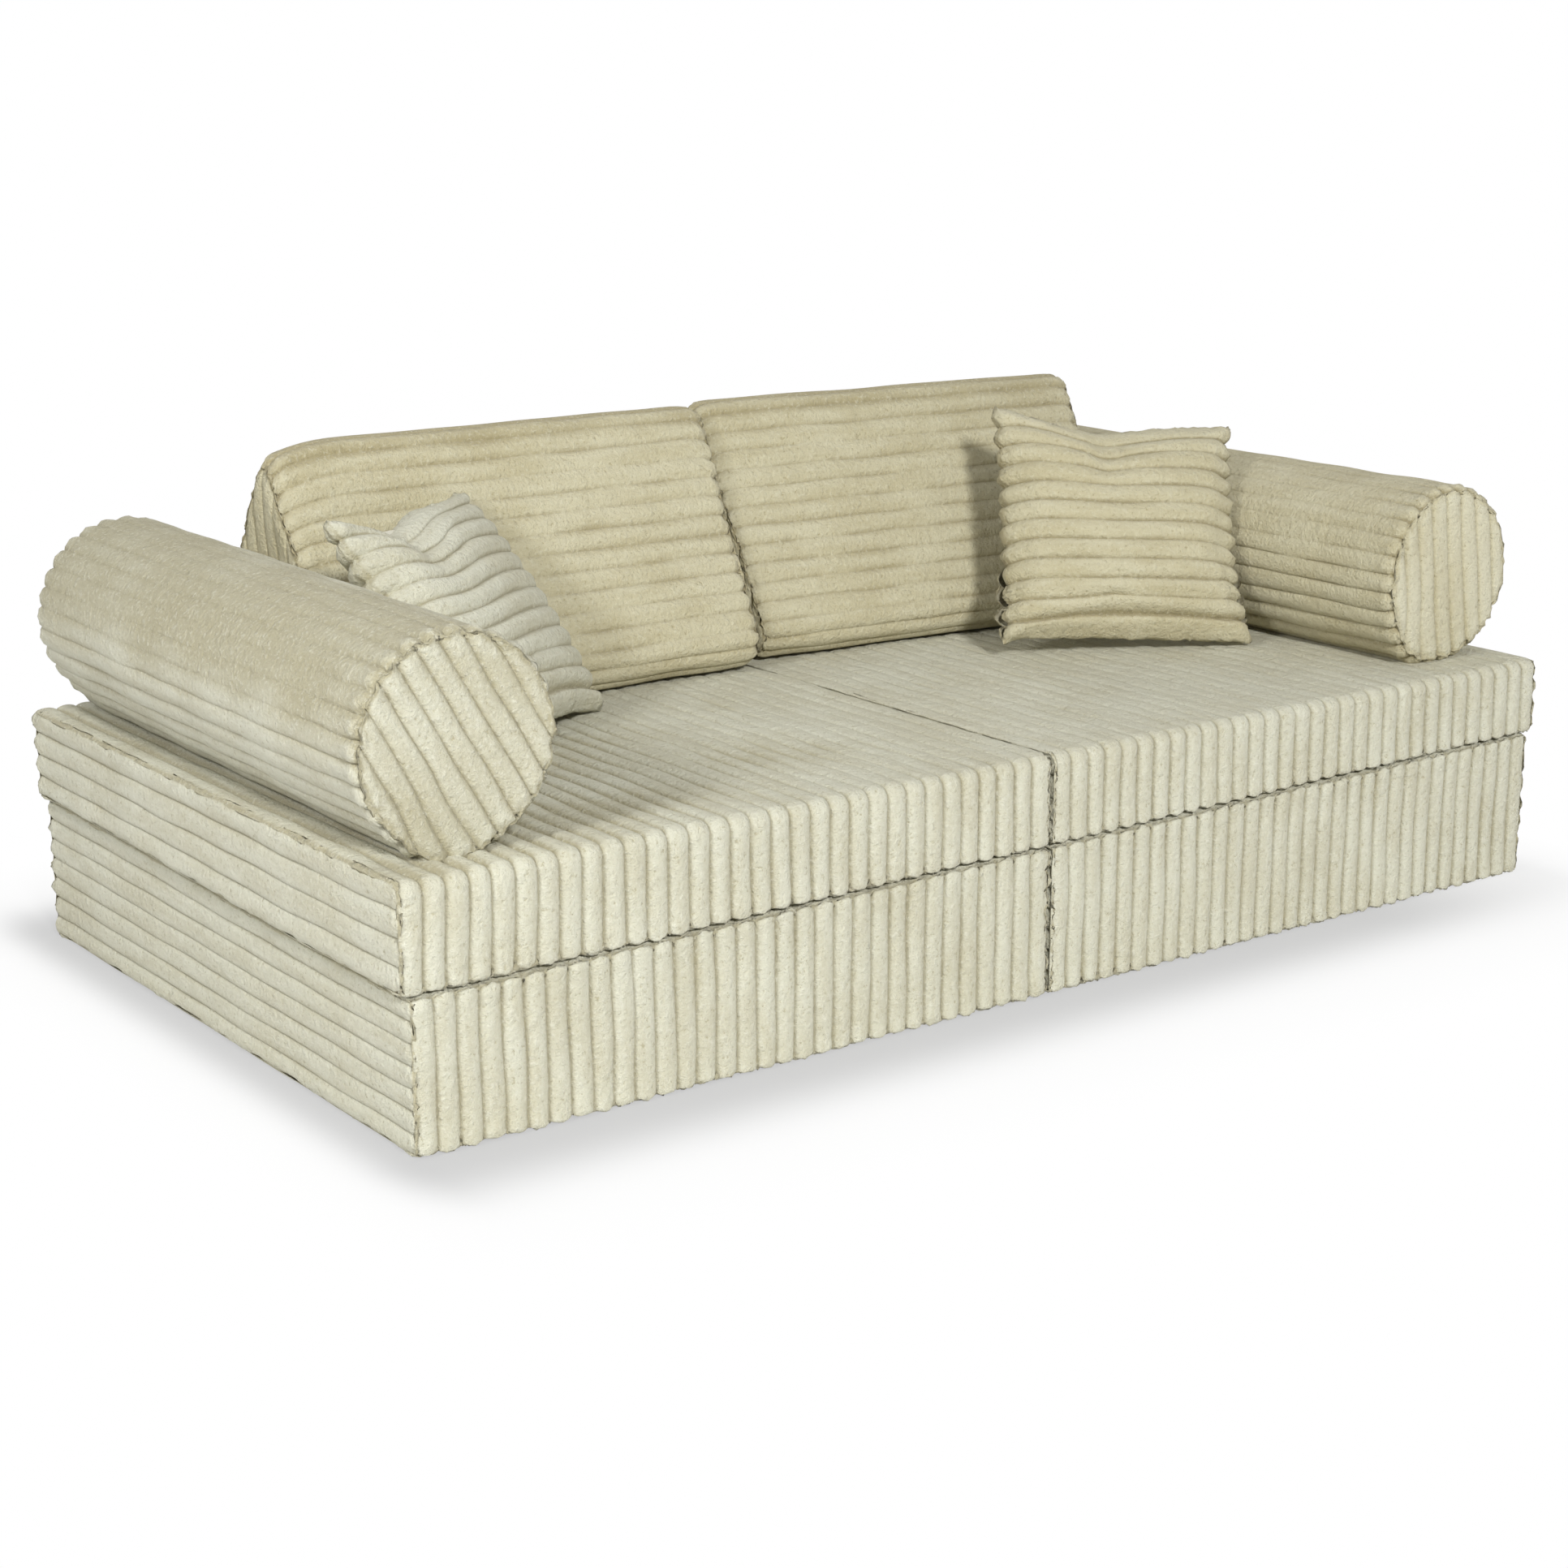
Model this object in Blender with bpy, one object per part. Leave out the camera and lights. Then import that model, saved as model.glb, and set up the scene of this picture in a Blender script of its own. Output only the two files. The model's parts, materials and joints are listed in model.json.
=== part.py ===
"""Modular foam play sofa: ten loose padded modules, each a zipped plush cover over its filling.

Two thick slabs lie side by side on the floor with two thinner seat slabs on them. A wedge backrest, a
round bolster and a throw pillow stand loose on each seat slab. Lengths are in metres, +Z is up, +X is to
the right seen from the front, and the origin is on the floor under the middle of the set.
"""

import math

import bmesh
import bpy
from mathutils import Matrix, Vector

# Plush corduroy of the covers
rib_pitch = 0.025
rib_height = 0.007
cover_wall = 0.005
corner_tuck = 0.005
rib_crest_share = 0.5

# Gaps between pieces
rest_gap = 0.0003
filling_gap = 0.0005
neighbour_gap = 0.0006
overrun = 0.002
weld_distance = 0.0001

# Steps in an arc
arc_steps = 8
core_arc_steps = 3
edge_arc_steps = 2

# Lower and seat slabs
slab_depth = 0.866
base_width = 0.799
base_height = 0.170
seat_width = 0.809
seat_height = 0.107
seat_edge_radius = 0.022

# Bolsters
bolster_diameter = 0.222
bolster_length = 0.796
bolster_overhang = 0.0122
bolster_setbacks = {"left": 0.050, "right": 0.066}
bolster_end_tuck = 0.014
bolster_end_round = 0.042
bolster_end_shares = (0, 0.3, 1)
bolster_core_sides = 24
bolster_turns = {"left": math.radians(30), "right": math.radians(8)}
bolster_toe_ins = {"left": math.radians(1), "right": 0}
bolster_zip_turn = math.radians(-60)

# Wedge backrests, each as long as the room beside its bolster less what is spare
backrest_spare = 0.036
backrest_depth = 0.360
backrest_rise = 0.340
backrest_apex_share = 0.51
backrest_top_radius = 0.026
backrest_front_radius = 0.035
backrest_rear_radius = 0.020
backrest_end_tuck = 0.008
backrest_end_round = 0.020
backrest_flare = 0.013
backrest_setbacks = {"left": 0.492, "right": 0.500}
backrest_side_gaps = {"left": 0.022, "right": 0.018}
backrest_turns = {"left": 0.0, "right": math.radians(-4)}
backrest_zip_height = 0.045

# Throw pillows
pillow_width = 0.322
pillow_height = 0.303
pillow_thickness = 0.096
pillow_seam = 0.004
pillow_pull = 0.008
pillow_margin = 0.020
pillow_columns = 6
pillow_core_rows = 6
pillow_fullness_share = 0.5
pillow_back_gaps = {"left": 0.0005, "right": 0.093}
pillow_turns = {"left": math.radians(36.7), "right": math.radians(-21.1)}
pillow_leans = {"left": math.radians(37.2), "right": math.radians(28.1)}
pillow_rolls = {"left": math.radians(-4), "right": math.radians(-5.9)}
pillow_zip_height = 0.048
solve_steps = 40
settle_rounds = 3

# Zips
slab_zip_length = 0.600
slab_zip_drop = 0.030
backrest_zip_length = 0.400
bolster_zip_length = 0.560
pillow_zip_length = 0.170
tape_width = 0.025
tape_thickness = 0.001
tape_end = 0.006
chain_width = 0.0045
chain_height = 0.0018
zip_play = 0.0003
slider_length = 0.011
slider_width = 0.008
slider_plate = 0.0012
slider_taper_share = 0.84
slider_end = 0.003
bail_inner = 0.0026
bail_wire = 0.0010
bail_width = 0.0020
bail_sink = 0.0005
bail_steps = 8
pull_length = 0.024
pull_width = 0.0055
pull_thickness = 0.0010
pull_lift = 0.0011
pull_eye_width = 0.0030
pull_eye_length = 0.0040
pull_hole_width = 0.0025
pull_hole_length = 0.0060
pull_hole_end = 0.0030

# The pull lies on its slider, but a zip that faces down lets it hang straight out of the slot
pull_lying_turn = 0
pull_hanging_turn = math.radians(90)

# Worked out from the sizes above
cover_depth = cover_wall + rib_height
end_wall = cover_depth + corner_tuck
seat_bottom = base_height + rest_gap
seat_top = seat_bottom + seat_height
sides = {"left": -1, "right": 1}
bolster_radius = bolster_diameter / 2
bolster_x = neighbour_gap / 2 + seat_width + bolster_overhang - bolster_radius
backrest_length = seat_width + bolster_overhang - bolster_diameter - backrest_spare
bolster_core_radius = bolster_radius - cover_depth
bolster_flat = bolster_core_radius * math.cos(math.pi / bolster_core_sides)
tape_bottom = filling_gap
tape_top = tape_bottom + tape_thickness
recess_top = tape_top + rest_gap
chain_top = tape_top + chain_height
slider_bottom = tape_top + zip_play
channel_top = chain_top + zip_play
slider_top = channel_top + slider_plate
slot_width = slider_width + 2 * zip_play + 2 * rest_gap
pin_height = slider_top + pull_lift
pull_reach = pull_length - pull_thickness / 2

colours = {
    "cover": (0.80, 0.76, 0.63, 1),
    "filling": (0.90, 0.88, 0.78, 1),
    "tape": (0.76, 0.71, 0.57, 1),
    "metal": (0.70, 0.70, 0.72, 1),
}


# Scene set-up
def clear_scene():
    for item in list(bpy.data.objects):
        bpy.data.objects.remove(item, do_unlink=True)


def new_collection(name):
    group = bpy.data.collections.new(name)
    bpy.context.scene.collection.children.link(group)
    return group


def new_material(name, kind):
    material = bpy.data.materials.new(name)
    material.use_nodes = True
    shader = material.node_tree.nodes["Principled BSDF"]
    shader.inputs["Base Color"].default_value = colours[kind]
    shader.inputs["Roughness"].default_value = 0.35 if kind == "metal" else 0.9
    shader.inputs["Metallic"].default_value = 1.0 if kind == "metal" else 0.0
    return material


def add_object(bm, name, parent, local, kind):
    """Turns a bmesh into one named piece; a kind of None makes a cutter."""
    bmesh.ops.recalc_face_normals(bm, faces=bm.faces)
    mesh = bpy.data.meshes.new(name)
    bm.to_mesh(mesh)
    bm.free()
    piece = bpy.data.objects.new(name, mesh)
    piece.parent = parent
    piece.matrix_basis = local
    if kind is None:
        cutters.objects.link(piece)
        piece.hide_render = True
        piece.display_type = "WIRE"
        return piece
    parts.objects.link(piece)
    mesh.shade_smooth()
    mesh.set_sharp_from_angle(angle=math.radians(40))
    mesh.materials.append(new_material(name, kind))
    return piece


def add_boolean(piece, tool, operation):
    modifier = piece.modifiers.new(operation.lower(), "BOOLEAN")
    modifier.operation = operation
    modifier.solver = "EXACT"
    modifier.object = tool


def add_module(name, place):
    module = bpy.data.objects.new(name + "_module", None)
    module.matrix_world = place
    parts.objects.link(module)
    return module


# Shape helpers
def box(low, high):
    """A closed box between two corners."""
    bm = bmesh.new()
    bmesh.ops.create_cube(bm, size=1)
    low = Vector(low)
    high = Vector(high)
    bmesh.ops.scale(bm, vec=high - low, verts=bm.verts)
    bmesh.ops.translate(bm, vec=(low + high) / 2, verts=bm.verts)
    return bm


def skin(rings):
    """A skin over rings of equally many points, open at both ends, with its rows of points."""
    bm = bmesh.new()
    rows = [[bm.verts.new(point) for point in ring] for ring in rings]
    for first, second in zip(rows, rows[1:]):
        for index in range(len(first)):
            after = (index + 1) % len(first)
            bm.faces.new((first[index], first[after], second[after], second[index]))
    return bm, rows


def loft(rings):
    """A closed skin over rings of equally many points, flat at both ends."""
    bm, rows = skin(rings)
    bm.faces.new(rows[0])
    bm.faces.new(rows[-1])
    return bm


def rib_stations(length):
    """Places along a ribbed width, each with its share of the groove's depth."""
    count = max(1, round(length / rib_pitch))
    step = length / count
    stations = []
    for rib in range(count):
        stations.append((rib * step, 1.0))
        stations.append(((rib + rib_crest_share) * step, 0.0))
    stations.append((length, 1.0))
    return stations


def sink_at(stations, place):
    """The share of the groove's depth at any place between the stations."""
    for (low, low_sink), (high, high_sink) in zip(stations, stations[1:]):
        if place <= high:
            share = max(0.0, (place - low) / (high - low))
            return low_sink + (high_sink - low_sink) * share
    return stations[-1][1]


def rib_end_panel(bm, end, way, low, length):
    """Cuts the flat end panel at x = end into ribs that lie side by side along way."""
    stations = rib_stations(length)
    for place, _ in stations[1:-1]:
        panel = [face for face in bm.faces if all(abs(v.co.x - end) < weld_distance for v in face.verts)]
        around = set(panel)
        for face in panel:
            around.update(face.edges)
            around.update(face.verts)
        bmesh.ops.bisect_plane(
            bm, geom=list(around), dist=weld_distance, plane_co=way * (low + place), plane_no=way
        )
    for vert in bm.verts:
        if abs(vert.co.x - end) < weld_distance:
            vert.co.x -= math.copysign(rib_height * sink_at(stations, vert.co.dot(way) - low), end)


def offset_corners(corners, offsets):
    """Moves each side of a convex outline inwards by its own offset; side n starts at corner n."""
    lines = []
    for index, corner in enumerate(corners):
        along = (corners[(index + 1) % len(corners)] - corner).normalized()
        inward = Vector((along.y, -along.x))
        lines.append((corner + inward * offsets[index], along))
    moved = []
    for index, (point, along) in enumerate(lines):
        before_point, before_along = lines[index - 1]
        across = before_along.x * along.y - before_along.y * along.x
        between = point - before_point
        reach = (between.x * along.y - between.y * along.x) / across
        moved.append(before_point + before_along * reach)
    return moved


def round_corners(corners, radii, steps):
    """A convex outline with each corner replaced by an arc."""
    points = []
    for index, corner in enumerate(corners):
        to_before = (corners[index - 1] - corner).normalized()
        to_after = (corners[(index + 1) % len(corners)] - corner).normalized()
        half = to_before.angle(to_after) / 2
        centre = corner + (to_before + to_after).normalized() * (radii[index] / math.sin(half))
        start = corner + to_before * (radii[index] / math.tan(half)) - centre
        finish = corner + to_after * (radii[index] / math.tan(half)) - centre
        turn = start.angle_signed(finish)
        for step in range(steps + 1):
            points.append(centre + Matrix.Rotation(-turn * step / steps, 2) @ start)
    return points


def ribbed_outline(points):
    """Walks an open outline rib by rib; gives each place, its outward normal and its groove share."""
    lengths = [0.0]
    for before, after in zip(points, points[1:]):
        lengths.append(lengths[-1] + (after - before).length)
    stations = rib_stations(lengths[-1])
    walked = []
    for place, sink in stations[1:-1]:
        index = max(i for i in range(len(points) - 1) if lengths[i] <= place)
        along = points[index + 1] - points[index]
        share = (place - lengths[index]) / along.length
        walked.append((points[index] + along * share, Vector((-along.y, along.x)).normalized(), sink))
    first_way = points[1] - points[0]
    last_way = points[-1] - points[-2]
    walked.insert(0, (points[0], Vector((-first_way.y, first_way.x)).normalized(), 0.0))
    walked.append((points[-1], Vector((-last_way.y, last_way.x)).normalized(), 0.0))
    return walked


# Zips
def add_zip(name, length, pull_turn, module, cover, frame, reach):
    """Sews a zip into a cover; frame has X along the zip and Z out of the wall's inner face."""
    half = length / 2
    tape_half = half + tape_end
    side = tape_width / 2
    recess = add_object(
        box(
            (-tape_half - rest_gap, -side - rest_gap, -overrun),
            (tape_half + rest_gap, side + rest_gap, recess_top),
        ),
        name + "_zip_recess", module, frame, None,
    )
    slot = add_object(
        box((-half, -slot_width / 2, 0), (half, slot_width / 2, reach + overrun)),
        name + "_zip_slot", module, frame, None,
    )
    add_boolean(cover, recess, "DIFFERENCE")
    add_boolean(cover, slot, "DIFFERENCE")

    tape = add_object(
        box((-tape_half, -side, tape_bottom), (tape_half, side, tape_top)),
        name + "_zip_tape", module, frame, "tape",
    )
    chain = add_object(
        box(
            (-half + rest_gap, -chain_width / 2, tape_bottom + tape_thickness / 2),
            (half - rest_gap, chain_width / 2, chain_top),
        ),
        name + "_zip_chain", module, frame, None,
    )
    add_boolean(tape, chain, "UNION")

    start = frame @ Matrix.Translation((-half + slider_end + slider_length / 2, 0, 0))
    slider = add_slider(name, module, start)
    add_pull(name, slider, pull_turn)


def add_slider(name, module, start):
    """The slider: a tapered channel over the chain, with a bail arched over the pull's pin."""
    body = box(
        (-slider_length / 2, -slider_width / 2, slider_bottom),
        (slider_length / 2, slider_width / 2, slider_top),
    )
    for vert in body.verts:
        if vert.co.x > 0:
            vert.co.y *= slider_taper_share
    slider = add_object(body, name + "_zip_slider", module, start, "metal")
    channel_half = chain_width / 2 + zip_play
    channel = add_object(
        box(
            (-slider_length / 2 - overrun, -channel_half, slider_bottom - overrun),
            (slider_length / 2 + overrun, channel_half, channel_top),
        ),
        name + "_slider_channel", slider, Matrix.Identity(4), None,
    )
    add_boolean(slider, channel, "DIFFERENCE")

    bail = bmesh.new()
    section = [
        bail.verts.new((-radius, across * bail_width / 2, slider_top - bail_sink))
        for radius, across in (
            (bail_inner, -1), (bail_inner, 1), (bail_inner + bail_wire, 1), (bail_inner + bail_wire, -1)
        )
    ]
    bmesh.ops.spin(
        bail, geom=[bail.faces.new(section)], cent=(0, 0, slider_top - bail_sink), axis=(0, 1, 0),
        angle=math.pi, steps=bail_steps,
    )
    arch = add_object(bail, name + "_slider_bail", slider, Matrix.Identity(4), None)
    add_boolean(slider, arch, "UNION")
    return slider


def add_pull(name, slider, turn):
    """The pull tab; its bar, which is the hinge's pin, lies under the bail at the piece's origin."""
    half = pull_thickness / 2
    place = Matrix.Translation((0, 0, pin_height)) @ Matrix.Rotation(-turn, 4, "Y")
    pull = add_object(
        box((-half, -pull_width / 2, -half), (pull_reach, pull_width / 2, half)),
        name + "_zip_pull", slider, place, "metal",
    )
    eye = add_object(
        box(
            (half, -pull_eye_width / 2, -half - overrun),
            (half + pull_eye_length, pull_eye_width / 2, half + overrun),
        ),
        name + "_pull_eye", pull, Matrix.Identity(4), None,
    )
    hole = add_object(
        box(
            (pull_reach - pull_hole_end - pull_hole_length, -pull_hole_width / 2, -half - overrun),
            (pull_reach - pull_hole_end, pull_hole_width / 2, half + overrun),
        ),
        name + "_pull_hole", pull, Matrix.Identity(4), None,
    )
    add_boolean(pull, eye, "DIFFERENCE")
    add_boolean(pull, hole, "DIFFERENCE")


def zip_frame(origin, along, outward):
    """A matrix with X along the zip and Z out of the cover."""
    along = Vector(along)
    outward = Vector(outward)
    across = outward.cross(along)
    frame = Matrix((along, across, outward)).transposed().to_4x4()
    frame.translation = origin
    return frame


# Slabs
def slab_section(height, top_round, inset, bottom):
    """The slab's section from front to rear, set in by inset all round but for its underside."""
    front = -slab_depth / 2 + inset
    rear = slab_depth / 2 - inset
    top = height - inset
    section = [(front, bottom), (rear, bottom), (rear, top)]
    if top_round == 0:
        return section + [(front, top)]
    radius = top_round - inset
    for step in range(edge_arc_steps + 1):
        angle = math.pi / 2 * step / edge_arc_steps
        section.append((front + radius - radius * math.sin(angle), top - radius + radius * math.cos(angle)))
    return section


def add_slab(name, width, height, place, top_round):
    module = add_module(name, place)
    stations = rib_stations(width)
    rings = []
    for index, (along, sink) in enumerate(stations):
        inset = corner_tuck if index in (0, len(stations) - 1) else sink * rib_height
        section = slab_section(height, top_round, inset, 0)
        rings.append([(along - width / 2, y, z) for y, z in section])
    bm = loft(rings)
    for end in (-width / 2, width / 2):
        rib_end_panel(bm, end, Vector((0, 0, 1)), 0, height)
    cover = add_object(bm, name + "_cover", module, Matrix.Identity(4), "cover")

    for label, gap, filling in (("_cavity", 0, None), ("_foam", filling_gap, "filling")):
        core_half = width / 2 - end_wall - gap
        section = slab_section(height, top_round, cover_depth + gap, cover_wall + gap)
        core = loft([[(x, y, z) for y, z in section] for x in (-core_half, core_half)])
        piece = add_object(core, name + label, module, Matrix.Identity(4), filling)
        if filling is None:
            add_boolean(cover, piece, "DIFFERENCE")
    frame = zip_frame((0, slab_depth / 2 - cover_depth, slab_zip_drop), (1, 0, 0), (0, 1, 0))
    add_zip(name, slab_zip_length, pull_lying_turn, module, cover, frame, cover_depth)


def seat_clearance(side, place, bm):
    """The least height of a loose piece over the ribbed top of the seat slab below it."""
    low = sides[side] * (neighbour_gap + seat_width) / 2 - seat_width / 2
    stations = rib_stations(seat_width)
    crests = [low + along for along, sink in stations if sink == 0]
    clearances = []
    for vert in bm.verts:
        point = place @ vert.co
        clearances.append(point.z - seat_top + rib_height * sink_at(stations, point.x - low))
    for edge in bm.edges:
        first, second = sorted((place @ vert.co for vert in edge.verts), key=lambda point: point.x)
        for crest in crests:
            if first.x < crest < second.x:
                crossing = first.lerp(second, (crest - first.x) / (second.x - first.x))
                clearances.append(crossing.z - seat_top)
    return min(clearances)


def settle(side, place, bm):
    """Lowers a loose piece until it all but touches the seat's ribs."""
    return Matrix.Translation((0, 0, rest_gap - seat_clearance(side, place, bm))) @ place


# Backrests
def wedge_outline(face_offset, base_offset, steps):
    """The wedge's section from its front foot over the top to its rear foot, set in by the offsets."""
    half = backrest_depth / 2
    apex = backrest_apex_share * backrest_depth - half
    corners = [Vector((-half, 0)), Vector((apex, backrest_rise)), Vector((half, 0))]
    corners = offset_corners(corners, (face_offset, face_offset, base_offset))
    radii = (
        backrest_front_radius - base_offset,
        backrest_top_radius - face_offset,
        backrest_rear_radius - base_offset,
    )
    return round_corners(corners, radii, steps)


def backrest_place(side):
    """The wedge stands on the seat, its ends clear of its own bolster."""
    turn = backrest_turns[side]
    inner = bolster_x - bolster_radius - backrest_side_gaps[side]
    x = sides[side] * (inner - backrest_length / 2 * math.cos(turn))
    y = -slab_depth / 2 + backrest_setbacks[side] + backrest_depth / 2
    return Matrix.Translation((x, y, seat_top + rest_gap)) @ Matrix.Rotation(turn, 4, "Z")


def flare_ends(bm):
    """Spreads a wedge's ends towards its top."""
    for vert in bm.verts:
        vert.co.x *= 1 + backrest_flare / (backrest_length / 2) * vert.co.z / backrest_rise


def add_backrest(name, side):
    module = add_module(name, backrest_place(side))
    outline = ribbed_outline(wedge_outline(0, 0, arc_steps))
    half = backrest_length / 2
    rings = []
    for x, tuck in (
        (-half, backrest_end_tuck),
        (-half + backrest_end_round, 0),
        (half - backrest_end_round, 0),
        (half, backrest_end_tuck),
    ):
        ring = []
        for point, outward, sink in outline:
            at = point - outward * (sink * rib_height + tuck)
            ring.append((x, at.x, at.y))
        rings.append(ring)
    bm = loft(rings)
    low = -backrest_depth / 2
    for end in (-half, half):
        rib_end_panel(bm, end, Vector((0, 1, 0)), low, backrest_depth)
    flare_ends(bm)
    cover = add_object(bm, name + "_cover", module, Matrix.Identity(4), "cover")

    for label, gap, filling in (("_cavity", 0, None), ("_foam", filling_gap, "filling")):
        core_half = half - end_wall - gap
        section = wedge_outline(cover_depth + gap, cover_wall + gap, core_arc_steps)
        core = loft([[(x, point.x, point.y) for point in section] for x in (-core_half, core_half)])
        flare_ends(core)
        piece = add_object(core, name + label, module, Matrix.Identity(4), filling)
        if filling is None:
            add_boolean(cover, piece, "DIFFERENCE")

    run = (1 - backrest_apex_share) * backrest_depth
    down = Vector((0, run, -backrest_rise)).normalized()
    outward = Vector((0, backrest_rise, run)).normalized()
    foot = Vector((0, backrest_depth / 2, 0))
    origin = foot - down * (backrest_zip_height / -down.z) - outward * cover_depth
    frame = zip_frame(origin, (1, 0, 0), outward)
    add_zip(name, backrest_zip_length, pull_lying_turn, module, cover, frame, cover_depth)


# Bolsters
def bolster_place(side):
    """The bolster lies along the seat's outer side, its rear end toed in a little."""
    toe_in = bolster_toe_ins[side]
    x = sides[side] * (bolster_x - bolster_length / 2 * math.sin(toe_in))
    y = -slab_depth / 2 + bolster_setbacks[side] + bolster_length / 2 * math.cos(toe_in)
    along_depth = Matrix.Rotation(math.radians(90) + sides[side] * toe_in, 4, "Z")
    turn = Matrix.Rotation(-bolster_turns[side], 4, "X")
    return Matrix.Translation((x, y, seat_top + bolster_radius)) @ along_depth @ turn


def bolster_tuck(inward):
    """How far the bolster's rounded end is drawn in at a distance from that end."""
    flat = 1 - min(1, inward / bolster_end_round)
    return bolster_end_tuck * (1 - math.sqrt(1 - flat * flat))


def add_bolster(name, side):
    """The bolster lies along its own X, which points to the rear of the sofa."""
    round_stations = rib_stations(2 * math.pi * bolster_radius)[:-1]
    half = bolster_length / 2
    front_xs = [bolster_end_round * share - half for share in bolster_end_shares]
    rings = []
    for x in front_xs + [-x for x in reversed(front_xs)]:
        ring = []
        for along, sink in round_stations:
            angle = along / bolster_radius
            radius = bolster_radius - sink * rib_height - bolster_tuck(half - abs(x))
            ring.append((x, radius * math.cos(angle), radius * math.sin(angle)))
        rings.append(ring)
    bm = loft(rings)
    low = -bolster_radius
    for end in (-half, half):
        rib_end_panel(bm, end, Vector((0, 1, 0)), low, bolster_diameter)
    module = add_module(name, settle(side, bolster_place(side), bm))
    cover = add_object(bm, name + "_cover", module, Matrix.Identity(4), "cover")

    facet = math.pi / bolster_core_sides
    angles = [(2 * side_number + 1) * facet for side_number in range(bolster_core_sides)]
    for label, gap, filling in (("_cavity", 0, None), ("_foam", filling_gap, "filling")):
        core_half = half - end_wall - gap
        flat_half = half - bolster_end_round
        rings = []
        for x in (-core_half, -flat_half, flat_half, core_half):
            radius = bolster_core_radius - gap - bolster_tuck(half - abs(x))
            rings.append([(x, radius * math.cos(angle), radius * math.sin(angle)) for angle in angles])
        piece = add_object(loft(rings), name + label, module, Matrix.Identity(4), filling)
        if filling is None:
            add_boolean(cover, piece, "DIFFERENCE")

    # The module's Y points to the left, so the zip's angle is counted from -Y
    outward = Vector((0, -math.cos(bolster_zip_turn), math.sin(bolster_zip_turn)))
    frame = zip_frame(outward * bolster_flat, (1, 0, 0), outward)
    reach = bolster_radius - bolster_flat
    add_zip(name, bolster_zip_length, pull_hanging_turn, module, cover, frame, reach)


# Pillows
def pillow_half_thickness(across, up, thickness):
    """Half the stuffed thickness at shares -1 to 1 across and up."""
    swell = (1 - across * across) * (1 - up * up)
    return thickness / 2 * max(0.0, swell) ** pillow_fullness_share


def pillow_half_width(up, width):
    """Half the width at a share -1 to 1 up, drawn in between the corners."""
    return width / 2 - pillow_pull * (1 - up * up)


def pillow_ring(up, groove, size, seam, flat_back):
    """One level outline of a pillow: across its front, then back across its rear."""
    width, height, thickness = size
    half = pillow_half_width(up, width) - groove / 2
    shares = [-math.cos(math.pi * column / pillow_columns) for column in range(pillow_columns + 1)]
    ring = []
    for face, steps in ((-1, shares), (1, shares[-2:0:-1])):
        for across in steps:
            deep = pillow_half_thickness(across, up, thickness)
            deep = max(seam / 2, deep - groove * deep / (thickness / 2))
            if abs(across) == 1:
                deep = 0
            if face > 0:
                deep = min(deep, flat_back)
            rise = height / 2 * (1 + up) - up * pillow_pull * (1 - across * across)
            ring.append((across * half, face * deep, rise))
    return ring


def pillow_form(levels, size, seam, zip_zone, flat_back):
    """A stuffed form over its levels, with its back held flat beside the zip."""
    rings = []
    for up, groove in levels:
        flat = flat_back if zip_zone[0] <= up <= zip_zone[1] else size[2]
        rings.append(pillow_ring(up, groove, size, seam, flat))
    bm, rows = skin(rings)
    for row in (rows[0], rows[-1]):
        for column in range(pillow_columns):
            opposite = [row[-back] for back in (column + 1, column) if 0 < back < pillow_columns]
            bm.faces.new([row[column], row[column + 1]] + opposite)
    bmesh.ops.triangulate(bm, faces=bm.faces, quad_method="FIXED")
    return bm


def side_clearance(side, points):
    """The least gap from points to the bolster."""
    bolster = bolster_place(side).inverted()
    return min((bolster @ point).yz.length for point in points) - bolster_radius


def back_clearance(side, points):
    """The least gap from points to the front of the wedge."""
    wedge = backrest_place(side).inverted()
    forward = Vector((-backrest_rise, backrest_apex_share * backrest_depth)).normalized()
    foot = Vector((-backrest_depth / 2, 0))
    return min(((wedge @ point).yz - foot).dot(forward) for point in points)


def push(side, place, points, way, clearance, gap):
    """Slides a loose piece one way until no more than a gap is left."""
    least = -slab_depth / 2
    most = slab_depth / 2
    for _ in range(solve_steps):
        middle = (least + most) / 2
        moved = Matrix.Translation(way * middle) @ place
        if clearance(side, [moved @ point for point in points]) < gap:
            most = middle
        else:
            least = middle
    return Matrix.Translation(way * least) @ place


def pillow_place(side, outer):
    """Leans a pillow in the corner of bolster and wedge, and rests it on the seat."""
    turn = Matrix.Rotation(pillow_turns[side], 4, "Z")
    lean = Matrix.Rotation(-pillow_leans[side], 4, "X") @ Matrix.Rotation(-pillow_rolls[side], 4, "Y")
    place = Matrix.Translation((sides[side] * seat_width / 2, 0, 0)) @ turn @ lean
    taut_sides = [
        Vector((across * pillow_width / 2, 0, pillow_height * step / arc_steps))
        for across in (-1, 1)
        for step in range(arc_steps + 1)
    ]
    points = [vert.co for vert in outer.verts] + taut_sides
    for _ in range(settle_rounds):
        place = settle(side, place, outer)
        outward = Vector((sides[side], 0, 0))
        place = push(side, place, points, outward, side_clearance, filling_gap)
        place = push(side, place, points, Vector((0, 1, 0)), back_clearance, pillow_back_gaps[side])
    return settle(side, place, outer)


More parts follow.
